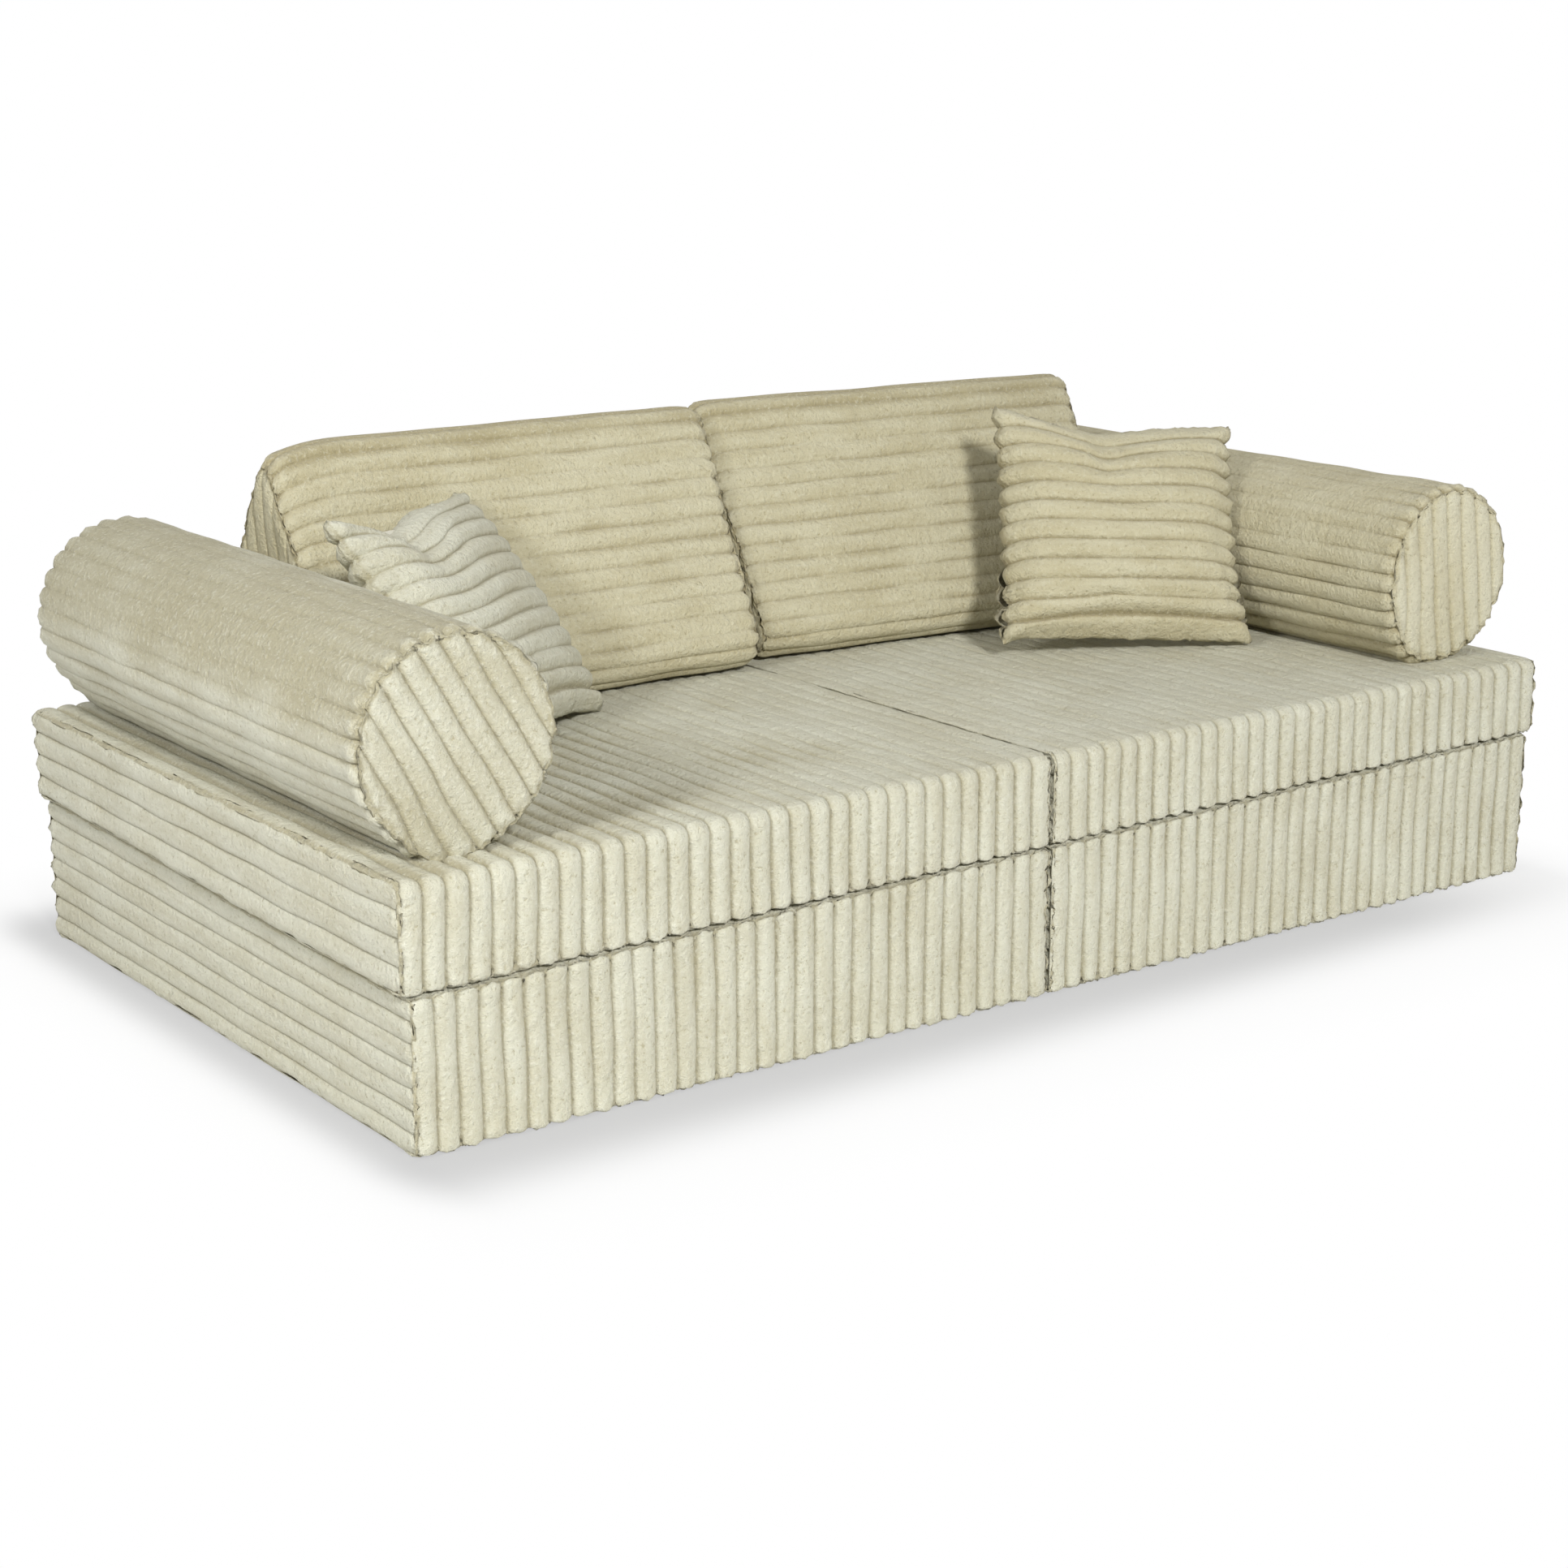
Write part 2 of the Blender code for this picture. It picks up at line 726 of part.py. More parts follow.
def add_pillow(name, side):
    half_height = pillow_height / 2
    zip_up = pillow_zip_height / half_height - 1
    zone = (tape_width / 2 + tape_end) / half_height
    zip_share = (pillow_zip_length / 2 + tape_end) / pillow_half_width(zip_up, pillow_width)
    flat_back = pillow_half_thickness(zip_share, zip_up, pillow_thickness - 2 * rib_height)

    stations = rib_stations(pillow_height)
    edges = [zip_up - zone, zip_up + zone]
    levels = [(place / half_height - 1, sink * rib_height) for place, sink in stations]
    levels += [(up, sink_at(stations, (up + 1) * half_height) * rib_height) for up in edges]
    levels.sort()
    outer = pillow_form(
        levels, (pillow_width, pillow_height, pillow_thickness), pillow_seam, edges, flat_back
    )
    module = add_module(name, pillow_place(side, outer))
    cover = add_object(outer, name + "_cover", module, Matrix.Identity(4), "cover")

    width = pillow_width - 2 * pillow_margin
    height = pillow_height - 2 * pillow_margin
    thickness = pillow_thickness - 2 * cover_depth
    core_edges = [edge * pillow_height / height for edge in edges]
    core_ups = [2 * row / pillow_core_rows - 1 for row in range(pillow_core_rows + 1)]
    core_ups = [up for up in core_ups if not core_edges[0] < up < core_edges[1]]
    core_levels = sorted((max(-1, up), 0) for up in core_ups + core_edges)
    for label, gap, filling in (("_cavity", 0, None), ("_fill", filling_gap, "filling")):
        core = pillow_form(
            core_levels, (width, height, thickness), pillow_seam, core_edges, flat_back - cover_depth
        )
        shrink = [(length - 2 * gap) / length for length in (width, thickness, height)]
        bmesh.ops.translate(core, vec=(0, 0, -height / 2), verts=core.verts)
        bmesh.ops.scale(core, vec=shrink, verts=core.verts)
        bmesh.ops.translate(core, vec=(0, 0, half_height), verts=core.verts)
        piece = add_object(core, name + label, module, Matrix.Identity(4), filling)
        if filling is None:
            add_boolean(cover, piece, "DIFFERENCE")

    bend = zip_up * pillow_pull * (1 - zip_share * zip_share / 2)
    frame = zip_frame((0, flat_back - cover_depth, pillow_zip_height - bend), (1, 0, 0), (0, 1, 0))
    add_zip(name, pillow_zip_length, pull_hanging_turn, module, cover, frame, pillow_thickness / 2)


clear_scene()
parts = new_collection("modular_play_sofa")
cutters = new_collection("cutters")
for side, sign in sides.items():
    base_place = Matrix.Translation((sign * (neighbour_gap / 2 + base_width / 2), 0, 0))
    add_slab("base_" + side, base_width, base_height, base_place, 0)
    seat_place = Matrix.Translation((sign * (neighbour_gap / 2 + seat_width / 2), 0, seat_bottom))
    add_slab("seat_" + side, seat_width, seat_height, seat_place, seat_edge_radius)
    add_backrest("backrest_" + side, side)
    add_bolster("bolster_" + side, side)
    add_pillow("pillow_" + side, side)
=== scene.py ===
"""The looks of the modular foam play sofa: ten plush modules, each with its cover, filling, seams and zip.

Every cover is drawn rib by rib round the section of its module, so that the ribs round off into the sewn
seams as fingers of pile do. Lengths are in metres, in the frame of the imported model: +Z up, +X to the
right seen from the front.
"""

import json
import math
from contextlib import contextmanager

import bmesh
import bpy
import numpy as np
from mathutils import Matrix, Vector


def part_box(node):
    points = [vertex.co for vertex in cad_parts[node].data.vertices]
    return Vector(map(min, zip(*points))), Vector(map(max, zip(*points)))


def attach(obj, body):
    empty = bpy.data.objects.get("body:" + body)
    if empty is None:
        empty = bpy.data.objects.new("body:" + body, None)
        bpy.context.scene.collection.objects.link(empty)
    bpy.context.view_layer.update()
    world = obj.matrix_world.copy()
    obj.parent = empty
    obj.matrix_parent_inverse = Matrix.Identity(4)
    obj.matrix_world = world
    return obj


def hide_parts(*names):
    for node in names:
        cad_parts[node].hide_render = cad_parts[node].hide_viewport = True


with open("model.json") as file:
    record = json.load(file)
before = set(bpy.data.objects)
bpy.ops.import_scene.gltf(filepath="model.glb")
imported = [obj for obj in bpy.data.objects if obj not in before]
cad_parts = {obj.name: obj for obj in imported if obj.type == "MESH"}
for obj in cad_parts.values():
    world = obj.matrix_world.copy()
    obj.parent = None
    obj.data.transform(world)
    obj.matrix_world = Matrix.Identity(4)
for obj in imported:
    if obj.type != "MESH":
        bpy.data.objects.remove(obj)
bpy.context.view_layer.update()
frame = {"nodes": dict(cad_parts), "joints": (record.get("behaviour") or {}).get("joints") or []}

# The photograph's camera; its angles are in degrees
view_target = Vector((-0.0228, 0.03, 0.1473))
view_azimuth = -36.66
view_elevation = 14.92
view_distance = 3.402
view_lens = 64.13
view_sensor = 36

# Plush ribs; a slab's numbers in threes are for its front, its top and its rear
rib_pitch = 0.025
rib_height = 0.0065
rib_roundness = 2.6
slab_relief = (0.95, 0.82, 0.8)
slab_patches = (0.15, 0.62, 0.2)
slab_side_relief = 0.66
slab_top_gain = 0.7
# Leftwards in the sofa, the seat tops' ribs grow crisper and take more painted shade, for the left bolster's shadow
slab_crisp_and_shaded_reach = (0.05, 0.65)
wedge_style = {
    "rear": 0.75, "side": 0.5, "soft": 0.5, "brushed": 0.45, "end": 0.55, "rear_end": 0.55, "puff": 0.6,
    "turn": 0.7, "notch": 0.0040, "inlet": 0.0024, "set_in": 0.0022, "scallop": 0.0, "fold": 0.0055,
}
bolster_style = {
    "low": 0.85, "top": 0.26, "side": 0.66, "soft": 0.25, "brushed": 0.5, "end": 0.85, "rear_end": 0.3, "puff": 2.2,
    "turn": 1.3, "notch": 0.0020, "inlet": 0.0006, "set_in": 0.0018, "scallop": 0.0032, "fold": 0.0085,
}
# Painted shade on each bolster's top, which the light reaches less than its flanks
bolster_top_painted_shade = {"left": 0.70, "right": 0.18}
# Painted shade on the left bolster's end caps; below zero, painted light on the right one's
cap_painted_light_and_shade = {"left": 0.36, "right": -0.9}
rear_scallop = 0.2
wedge_fronts = {"left": 0.66, "right": 0.68}
pillow_relief = 1.1
softness = {"slab": 0.15, "pillow": 0.38, "side": 0.0}
rib_steps = 8
along_step = 0.016
hidden_step = 0.040

# Seams: how far the plush turns in towards a seam, how round the end of each rib is, how the thread puckers
# the pile beside it, and how far off the closer places of the mesh keep the others
seam_depth = 0.0020
seam_reach = 0.0050
seam_puff = 0.0014
pucker_depth = 0.0014
pucker_reach = 0.016
crumb_depth = 0.0012
ragged_edge = 0.0018
crumb_reach = 0.007
seam_inlet = 0.0024
inner_inlets = {"left": 0.0040, "right": 0.0006}
finger_round = 0.0048
finger_play = 0.0014
near_seam = np.array([0, 0.0004, 0.0012, 0.0024, 0.004, 0.006, 0.0085, 0.0115, 0.015, 0.020])
seam_offsets = np.concatenate((-near_seam[:0:-1], near_seam))
seam_clear = 0.021
end_clear = 0.022
puff_place = 0.006
puff_spread = 0.008
pucker_waves = (0.011, 0.026)
brush_waves = (0.045, 0.16)
brush_band = (-0.35, 0.75)
brush_depth = 0.35
# How far from a seam the painted shade reaches on end panels and on pillows, and over what length it fades
panel_painted_shade = (0.005, 0.004)
pillow_painted_shade = (0.004, 0.003)

# Slack of the fabric, always inwards, so that neighbours stay clear; how far ribs stray and lean, and how
# long the waves are in which they do, with the share of a length that counts along a rib
slack = 0.0022
slack_wave = 0.16
wobble = 0.0011
wobble_wave = 0.05
wobble_grain = 0.4
lean = 0.0018
lean_wave = 0.22
lean_grain = 0.25

# Sections of the slabs, wedges and bolsters, and the painted shade that goes with them in their folds, seams and tops
slab_edge = 0.0045
bend_steps = np.linspace(-0.016, 0.016, 13)
bend_clear = 0.018
slab_top_margins = (0.01, 0.02)
slab_fold = 0.005
# Painted shade in the fold where a slab's wrap meets its end panels
slab_fold_painted_shade = 0.8
slab_scallop = {"left": 0.0055, "right": 0.0020}
slab_scallop_reach = 0.012
joint_scallop = 0.0018
joint_scallop_reach = 0.010
joint_depth = 0.0032
joint_fold = joint_depth + 0.0012
joint_width = 0.0075
flat_seam = (0.006, 0.040)
# Painted shade along a slab's seams: how dark, and how far it reaches
seam_painted_shade = 0.35
seam_painted_shade_reach = 0.006
seat_edge = 0.015
roll_end_reach = 0.03
roll_relief_blend = 0.09
# Over what length the painted shade on a rolled cover's top fades in
roll_painted_shade_blend = 0.10
# Painted shade in the folds at the ends of a rolled cover
roll_fold_painted_shade = 1.3
notch_reach = 0.010
wedge_depth = 0.360
wedge_rise = 0.340
wedge_apex_share = 0.51
wedge_radii = (0.035, 0.026, 0.020)
wedge_flare = 0.013
# Painted shade on each wedge's top: how far ahead of its top corner it starts, and how dark
wedge_top_lead = 0.03
wedge_top_painted_shade = 0.52
wedge_end = (0.007, 0.020)
wedge_corner = {"outer": (0.030, 0.085), "inner": (0.012, 0.036)}
wedge_swell = 0.004
wedge_swell_shares = (0.45, 0.8)
wedge_belly = 0.009
wedge_drop_shares = (0.3, 0.9)
bolster_ends = {"left": ((0.002, 0.016), (0.014, 0.042)), "right": ((0.006, 0.030), (0.014, 0.042))}
bolster_top_shares = (0.30, 0.70)
# Where round a bolster the painted shade on its top starts and ends
bolster_painted_shade_shares = (0.36, 0.66)
bolster_sag = 0.012
bolster_sag_place = math.radians(-50)
bolster_sag_reach = math.radians(24)
bolster_zip_turn = math.radians(-60)

# The soft slabs lean on one another: how far the seam between them has sunk at the front, left to right
slab_width = 0.8
seam_middle = 0.0015
seam_slope = 0.0105
seam_fade = (0.42, 0.75)

# Pillows: their stuffing has settled, so the top sags with a crease and the foot arches
pillow_pull = 0.003
pillow_grow = 0.007
pillow_fullness = 0.5
pillow_fall = 1.6
pillow_corner_fall = 7
pillow_corner_share = 0.4
pillow_dips = {"left": (-0.38, 0.36, 0.021), "right": (-0.12, 0.50, 0.015)}
pillow_droops = {"left": 0.0, "right": 0.013}
pillow_arch = 0.003
pillow_hem = 0.004
pillow_hem_width = 0.004
pillow_crease = 0.35
pillow_crease_width = 0.13
pillow_scallop = 0.0075
pillow_tuft = 0.004
pillow_plush = 0.0085
pillow_ragged = 0.0028
pillow_ragged_wave = 0.014
pillow_zip_flat = (0.022, 0.050)
pillow_rest = 0.0004
pillow_least = 0.0005
cloth_style = {
    "quality": 6, "mass": 0.25, "tension_stiffness": 18, "compression_stiffness": 18, "shear_stiffness": 8,
    "bending_stiffness": 0.25, "shrink_min": -0.055, "use_pressure": True, "uniform_pressure_force": 4,
}
cloth_start = 0.9
cloth_roughness = 0.0006
cloth_cells = 36
cloth_cap = 0.009
cloth_frames = 20

# The floor, and the soft shadow on it round the sofa: how dark it is at the sofa, and how far it reaches
floor_size = 12
floor_half = {"X": 0.79, "Y": 0.425}
floor_dark = 0.40
floor_dark_left = 0.38
floor_fade = 0.110
floor_fade_aside = 0.055
floor_right_share = 0.25

# Lamps: azimuth and elevation in degrees, distance, width and power
lamps = {
    "key_lamp": (-19, 28.5, 9.0, 1.1, 552),
    "left_lamp": (-72, 27, 3.1, 0.5, 27),
    "back_lamp": (150, 38, 3.8, 1.4, 24),
}
lamp_target = Vector((0, 0, 0.25))

# Zips
slot_half = 0.0046
slot_rows = np.array([0, slot_half, slot_half + 0.0002, 0.0054, 0.0066, 0.0084, 0.0106])
slot_offsets = np.concatenate((-slot_rows[:0:-1], slot_rows))
slot_step = 0.0003
slot_clear = 0.013
slot_lip = 0.006
slot_lip_depth = 0.003
tape_width = 0.025
tape_end = 0.006
tape_show = 0.0003
cover_depth = 0.012
slot_floor = cover_depth - 0.0008

# Fillings
filling_gap = 0.0005
filling_edge = 0.006
filling_crease = math.radians(50)
weld_distance = 0.00001

joints = {joint["name"]: joint for joint in frame["joints"]}
seat_levels = [corner.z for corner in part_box("seat_left_cover")]


@contextmanager
def editing(mesh):
    """Opens a mesh for bmesh's tools and writes it back."""
    bm = bmesh.new()
    bm.from_mesh(mesh)
    yield bm
    bm.to_mesh(mesh)
    bm.free()


class Space:
    """A module's own space: X along its zip, its size, its zip's slot, and its place in the sofa."""

    def __init__(self, name):
        self.name = name
        self.kind, self.side = name.split("_")
        along = Vector(joints[name + "_zip_slide"]["axis"]).normalized()
        outward = Vector(joints[name + "_pull_swing"]["axis"]).cross(along).normalized()
        beside = along.cross(outward)
        if self.kind == "bolster":
            up_share = math.cos(bolster_zip_turn)
            side_share = math.sin(bolster_zip_turn)
            deep = -up_share * outward - side_share * beside
            up = side_share * outward - up_share * beside
        elif self.kind == "pillow":
            deep = outward
            up = beside
        else:
            up = Vector((0, 0, 1))
            deep = up.cross(along)
        self.turn = Matrix((along, deep, up)).transposed()
        self.rightwards = math.copysign(1, self.turn[0][0])
        points = self.inside(name + "_cover")
        low = points.min(0)
        high = points.max(0)
        self.size = high - low
        self.origin = (low + high) / 2
        if self.kind != "bolster":
            self.origin[2] = low[2]
        self.tape = self.inside(name + "_zip_tape") - self.origin
        tape_low = self.tape.min(0)
        tape_high = self.tape.max(0)
        self.tape_level = tape_low[1]
        self.tape_middle = (tape_low + tape_high) / 2
        self.zip_half = (tape_high[0] - tape_low[0]) / 2 - tape_end
        self.slot_ends = np.array([sign * (self.zip_half + shift) for sign in (-1, 1) for shift in (0, slot_step)])

    def inside(self, node):
        points = np.array([vert.co for vert in frame["nodes"][node].data.vertices])
        return points @ np.array(self.turn)

    def outside(self, points):
        return (points + self.origin) @ np.array(self.turn).T


class Outline:
    """A closed section, walked by its length; its outward side is to the left."""

    def __init__(self, points, normals, places):
        self.points = points
        self.normals = normals
        self.places = places
        self.length = places[-1]

    def at(self, places):
        """Points and outward normals at lengths round the section."""
        places = np.mod(places, self.length)
        points, normals = (
            np.stack([np.interp(places, self.places, values[:, axis]) for axis in (0, 1)], -1)
            for values in (self.points, self.normals)
        )
        return points, normals / np.linalg.norm(normals, axis=-1, keepdims=True)

    def place_of(self, point):
        """The length round the section at the point nearest to the given one."""
        places = np.linspace(0, self.length, 4000)
        found, _ = self.at(places)
        return places[np.argmin(np.linalg.norm(found - np.array(point), axis=1))]

    def border(self, inset):
        """The section as a polygon, set in by the inset."""
        return self.points[:-1] - self.normals[:-1] * inset


def rounded_outline(corners, radii, steps=16):
    """A section with rounded corners; bends holds where their arcs start and end, corners their middles."""
    points = []
    normals = []
    corners = [Vector(corner) for corner in corners]
    for index, corner in enumerate(corners):
        before = (corners[index - 1] - corner).normalized()
        after = (corners[(index + 1) % len(corners)] - corner).normalized()
        centre = corner + (before + after).normalized() * (radii[index] / math.sin(before.angle(after) / 2))
        first = Vector((before.y, -before.x))
        turn = first.angle_signed(Vector((-after.y, after.x)))
        for step in range(steps + 1):
            normal = Matrix.Rotation(-turn * step / steps, 2) @ first
            points.append(centre + normal * radii[index])
            normals.append(normal)
    points = np.array(points + points[:1])
    normals = np.array(normals + normals[:1])
    lengths = np.linalg.norm(np.diff(points, axis=0), axis=1)
    outline = Outline(points, normals, np.concatenate(([0], np.cumsum(lengths))))
    starts = np.arange(len(corners)) * (steps + 1)
    outline.bends = (outline.places[starts], outline.places[starts + steps])
    outline.corners = outline.places[starts + steps // 2]
    return outline


def circle_outline(radius, steps=180):
    angles = -np.linspace(0, 2 * math.pi, steps + 1) - math.pi / 2
    normals = np.stack([np.cos(angles), np.sin(angles)], -1)
    return Outline(normals * radius, normals, np.linspace(0, 2 * math.pi * radius, steps + 1))


def ripple(first, second, wavelength, seed, waves=7):
    """A smooth random field over two lengths, from -1 to 1."""
    random = np.random.default_rng(seed)
    total = np.zeros(np.broadcast(first, second).shape)
    for _ in range(waves):
        angle = random.uniform(0, 2 * math.pi)
        reach = wavelength * random.uniform(0.6, 1.6)
        phase = random.uniform(0, 2 * math.pi)
        total = total + np.cos((first * math.cos(angle) + second * math.sin(angle)) * 2 * math.pi / reach + phase)
    return np.clip(total / math.sqrt(waves) / 1.6, -1, 1)


def quarter(share):
    """A quarter round: 1 at share 0, falling steeply at first, 0 from share 1 on."""
    rest = 1 - np.clip(share, 0, 1)
    return 1 - np.sqrt(np.clip(1 - rest * rest, 0, 1))


def rib_inset(across, soft):
    """Depth of a rib's surface under its crest; across runs from -1 to 1, soft from full to wavy ribs."""
    swell = np.clip(1 - np.abs(across) ** rib_roundness, 0, 1) ** (1 / rib_roundness)
    wave = (1 + np.cos(math.pi * across)) / 2
    return rib_height * (1 - swell - soft * (wave - swell))


def ease(value, low, high):
    """0 up to low, 1 from high on, smooth between."""
    share = np.clip((value - low) / (high - low), 0, 1)
    return share * share * (3 - 2 * share)


def stretch(places, marks, reach=0.030):
    """Joins numbers given for stretches of an outline: marks holds where each one starts, and its number."""
    total = np.full(places.shape, marks[0][1], float)
    for (_, before), (start, number) in zip(marks, marks[1:]):
        total += (number - before) * ease(places, start - reach / 2, start + reach / 2)
    return total


def tuck(distance, end):
    """How far a rounded end is drawn in at a distance from that end."""
    depth, reach = end
    return depth * quarter(distance / reach)


def sink_seam(points, kind):
    """Shifts the seam between lower and seat slab at the front, as the stacked foam has settled."""
    low, high = seat_levels
    shift = (seam_middle + seam_slope * points[:, 0] / slab_width) * ease(seam_fade[0] - points[:, 1], 0, seam_fade[1])
    share = points[:, 2] / low if kind == "base" else (high - points[:, 2]) / (high - low)
    moved = points.copy()
    moved[:, 2] += shift * np.clip(share, 0, 1)
    return moved


def finger_inset(distance, across, depth=seam_depth, puff=seam_puff):
    """How far a rib's rounded end has turned in at a distance from the seam, behind which it puffs up."""
    end = finger_round * (1 - np.sqrt(np.clip(1 - across * across, 0, 1)))
    swollen = np.exp(-(((distance - seam_reach - puff_place) / puff_spread) ** 2)) * (1 - across * across)
    return depth * quarter((distance - end) / seam_reach) - puff * swollen


def rib_play(random, ribs):
    """How much nearer to a seam, or farther from it, each rib ends."""
    return random.uniform(-finger_play, finger_play, ribs.max() + 1)[ribs]


def puckers(first, second, distance, seed):
    """Small creases that the thread pulls into the plush beside a seam."""
    fine = ripple(first, second, pucker_waves[0], seed, 9) + 0.5 * ripple(first, second, pucker_waves[1], seed + 50)
    creases = pucker_depth * (0.5 + fine) * np.exp(-distance / pucker_reach)
    crumbs = np.clip(np.random.default_rng(seed).standard_normal(creases.shape), -2, 2)
    return creases + crumb_depth * crumbs * np.exp(-distance / crumb_reach)


def painted_groove_shade(inset, distance, reach, fade):
    """Painted shade: how much darker the pile is painted between ribs, and within reach of a seam."""
    return np.minimum(1, inset / rib_height) + 0.6 * ease(reach - distance, 0, fade)


def slack_inset(first, second, seed):
    """How far the loose fabric lies inwards."""
    return slack * (1 + ripple(first, second, slack_wave, seed + 1)) / 2


def brushed(along, across, depth, seed):
    """Where the pile has been brushed over its grooves: the rib's relief fades along it in patches."""
    field = ripple(along * 0.32, across, brush_waves[0], seed, 9)
    field = field + 0.6 * ripple(along * 0.5, across, brush_waves[1], seed + 60)
    return 1 - depth * ease(field, *brush_band)


def rib_places(length, extra=()):
    """Places across a ribbed width, closest in the grooves, with their share across and their rib."""
    count = max(1, round(length / rib_pitch))
    step = length / count
    within = (1 - np.cos(np.pi * np.arange(rib_steps) / rib_steps)) / 2
    places = (np.arange(count)[:, None] + within[None, :]).ravel() * step
    places = np.unique(np.concatenate((places, [length], np.asarray(extra, float))))
    turns = places * count / length
    ribs = np.clip(np.floor(turns + 1e-9), 0, count - 1).astype(int)
    return places, 2 * (turns - ribs) - 1, ribs


def spread(length, step, clusters=(), closed=False):
    """Places a step apart, with closer places round each cluster's centre."""
    places = np.linspace(0, length, max(2, round(length / step) + 1))
    if closed:
        places = places[:-1]
    for centre, offsets, clear in clusters:
        away = np.abs(places - centre)
        closer = centre + offsets
        if closed:
            away = np.minimum(away, length - away)
            closer = np.mod(closer, length)
        places = np.concatenate((places[away > clear], closer))
    places = places[(places > -1e-6) & (places < length + 1e-6)]
    return np.unique(np.round(places, 6))


def between_seams(length, step=along_step):
    """Places along ribs that end in a seam at both ends, closest beside the seams."""
    return spread(length, step, ((0, near_seam, end_clear), (length, -near_seam, end_clear)))


def quads_of(index):
    """The faces of a grid of numbered points."""
    return np.stack([index[:-1, :-1], index[:-1, 1:], index[1:, 1:], index[1:, :-1]], -1).reshape(-1, 4)


class Fabric:
    """Collects patches of plush and sews them into one closed mesh."""

    def __init__(self):
        self.points = []
        self.cloth = []
        self.faces = []
        self.count = 0

    def add(self, points, along, across, painted_shade, closed_rows=False, flip=False):
        """One patch: a grid of points with its place in the cloth and the painted shade that goes with its depth in a
        groove; below zero it is painted light.
        """
        rows, columns = points.shape[:2]
        index = np.arange(rows * columns).reshape(rows, columns) + self.count
        quads = quads_of(np.concatenate((index, index[:1])) if closed_rows else index)
        if flip:
            quads = quads[:, ::-1]
        shape = (rows, columns)
        cloth = np.stack([np.broadcast_to(value, shape) for value in (along, across, painted_shade)], -1)
        self.points.append(points.reshape(-1, 3))
        self.cloth.append(cloth.reshape(-1, 3))
        self.faces.append(quads)
        self.count += rows * columns

    def sew(self, space, seam_sides=(), warp=None):
        """Places the patches in the sofa and closes the seams between them."""
        points = np.concatenate(self.points)
        if warp:
            points = warp(points)
        world = space.outside(points)
        if space.kind in ("base", "seat"):
            world = sink_seam(world, space.kind)
            world[:, 2] = np.maximum(world[:, 2], 0)
        mesh = bpy.data.meshes.new(space.name + "_plush")
        mesh.from_pydata(world.tolist(), [], np.concatenate(self.faces).tolist())
        cloth = mesh.attributes.new("cloth", "FLOAT_VECTOR", "POINT")
        cloth.data.foreach_set("vector", np.concatenate(self.cloth).astype(np.float32).ravel())
        with editing(mesh) as bm:
            bm.verts.ensure_lookup_table()
            for side in seam_sides:
                loops = [
                    edge for edge in bm.edges
                    if edge.is_boundary and points[edge.verts[0].index][0] * side > 0
                ]
                bmesh.ops.bridge_loops(bm, edges=loops)
            bmesh.ops.recalc_face_normals(bm, faces=bm.faces)
        mesh.shade_smooth()
        return add_object(space.name + "_plush", mesh)


def add_object(name, data):
    item = bpy.data.objects.new(name, data)
    bpy.context.scene.collection.objects.link(item)
    return item


def zip_inset(inset, aside, xs, space):
    """The fabric's depth beside and inside a zip's slot, from the distance aside and the place along it."""
    beyond = (np.abs(xs) - space.zip_half)[None, :]
    near = np.hypot(np.maximum(0, aside - slot_half), np.maximum(0, beyond))
    lip = inset + slot_lip_depth * quarter((near - tape_show) / slot_lip)
    inside = (aside <= slot_half + 1e-6) & (beyond <= 1e-6)
    return np.where(inside, slot_floor, np.minimum(lip, slot_floor))


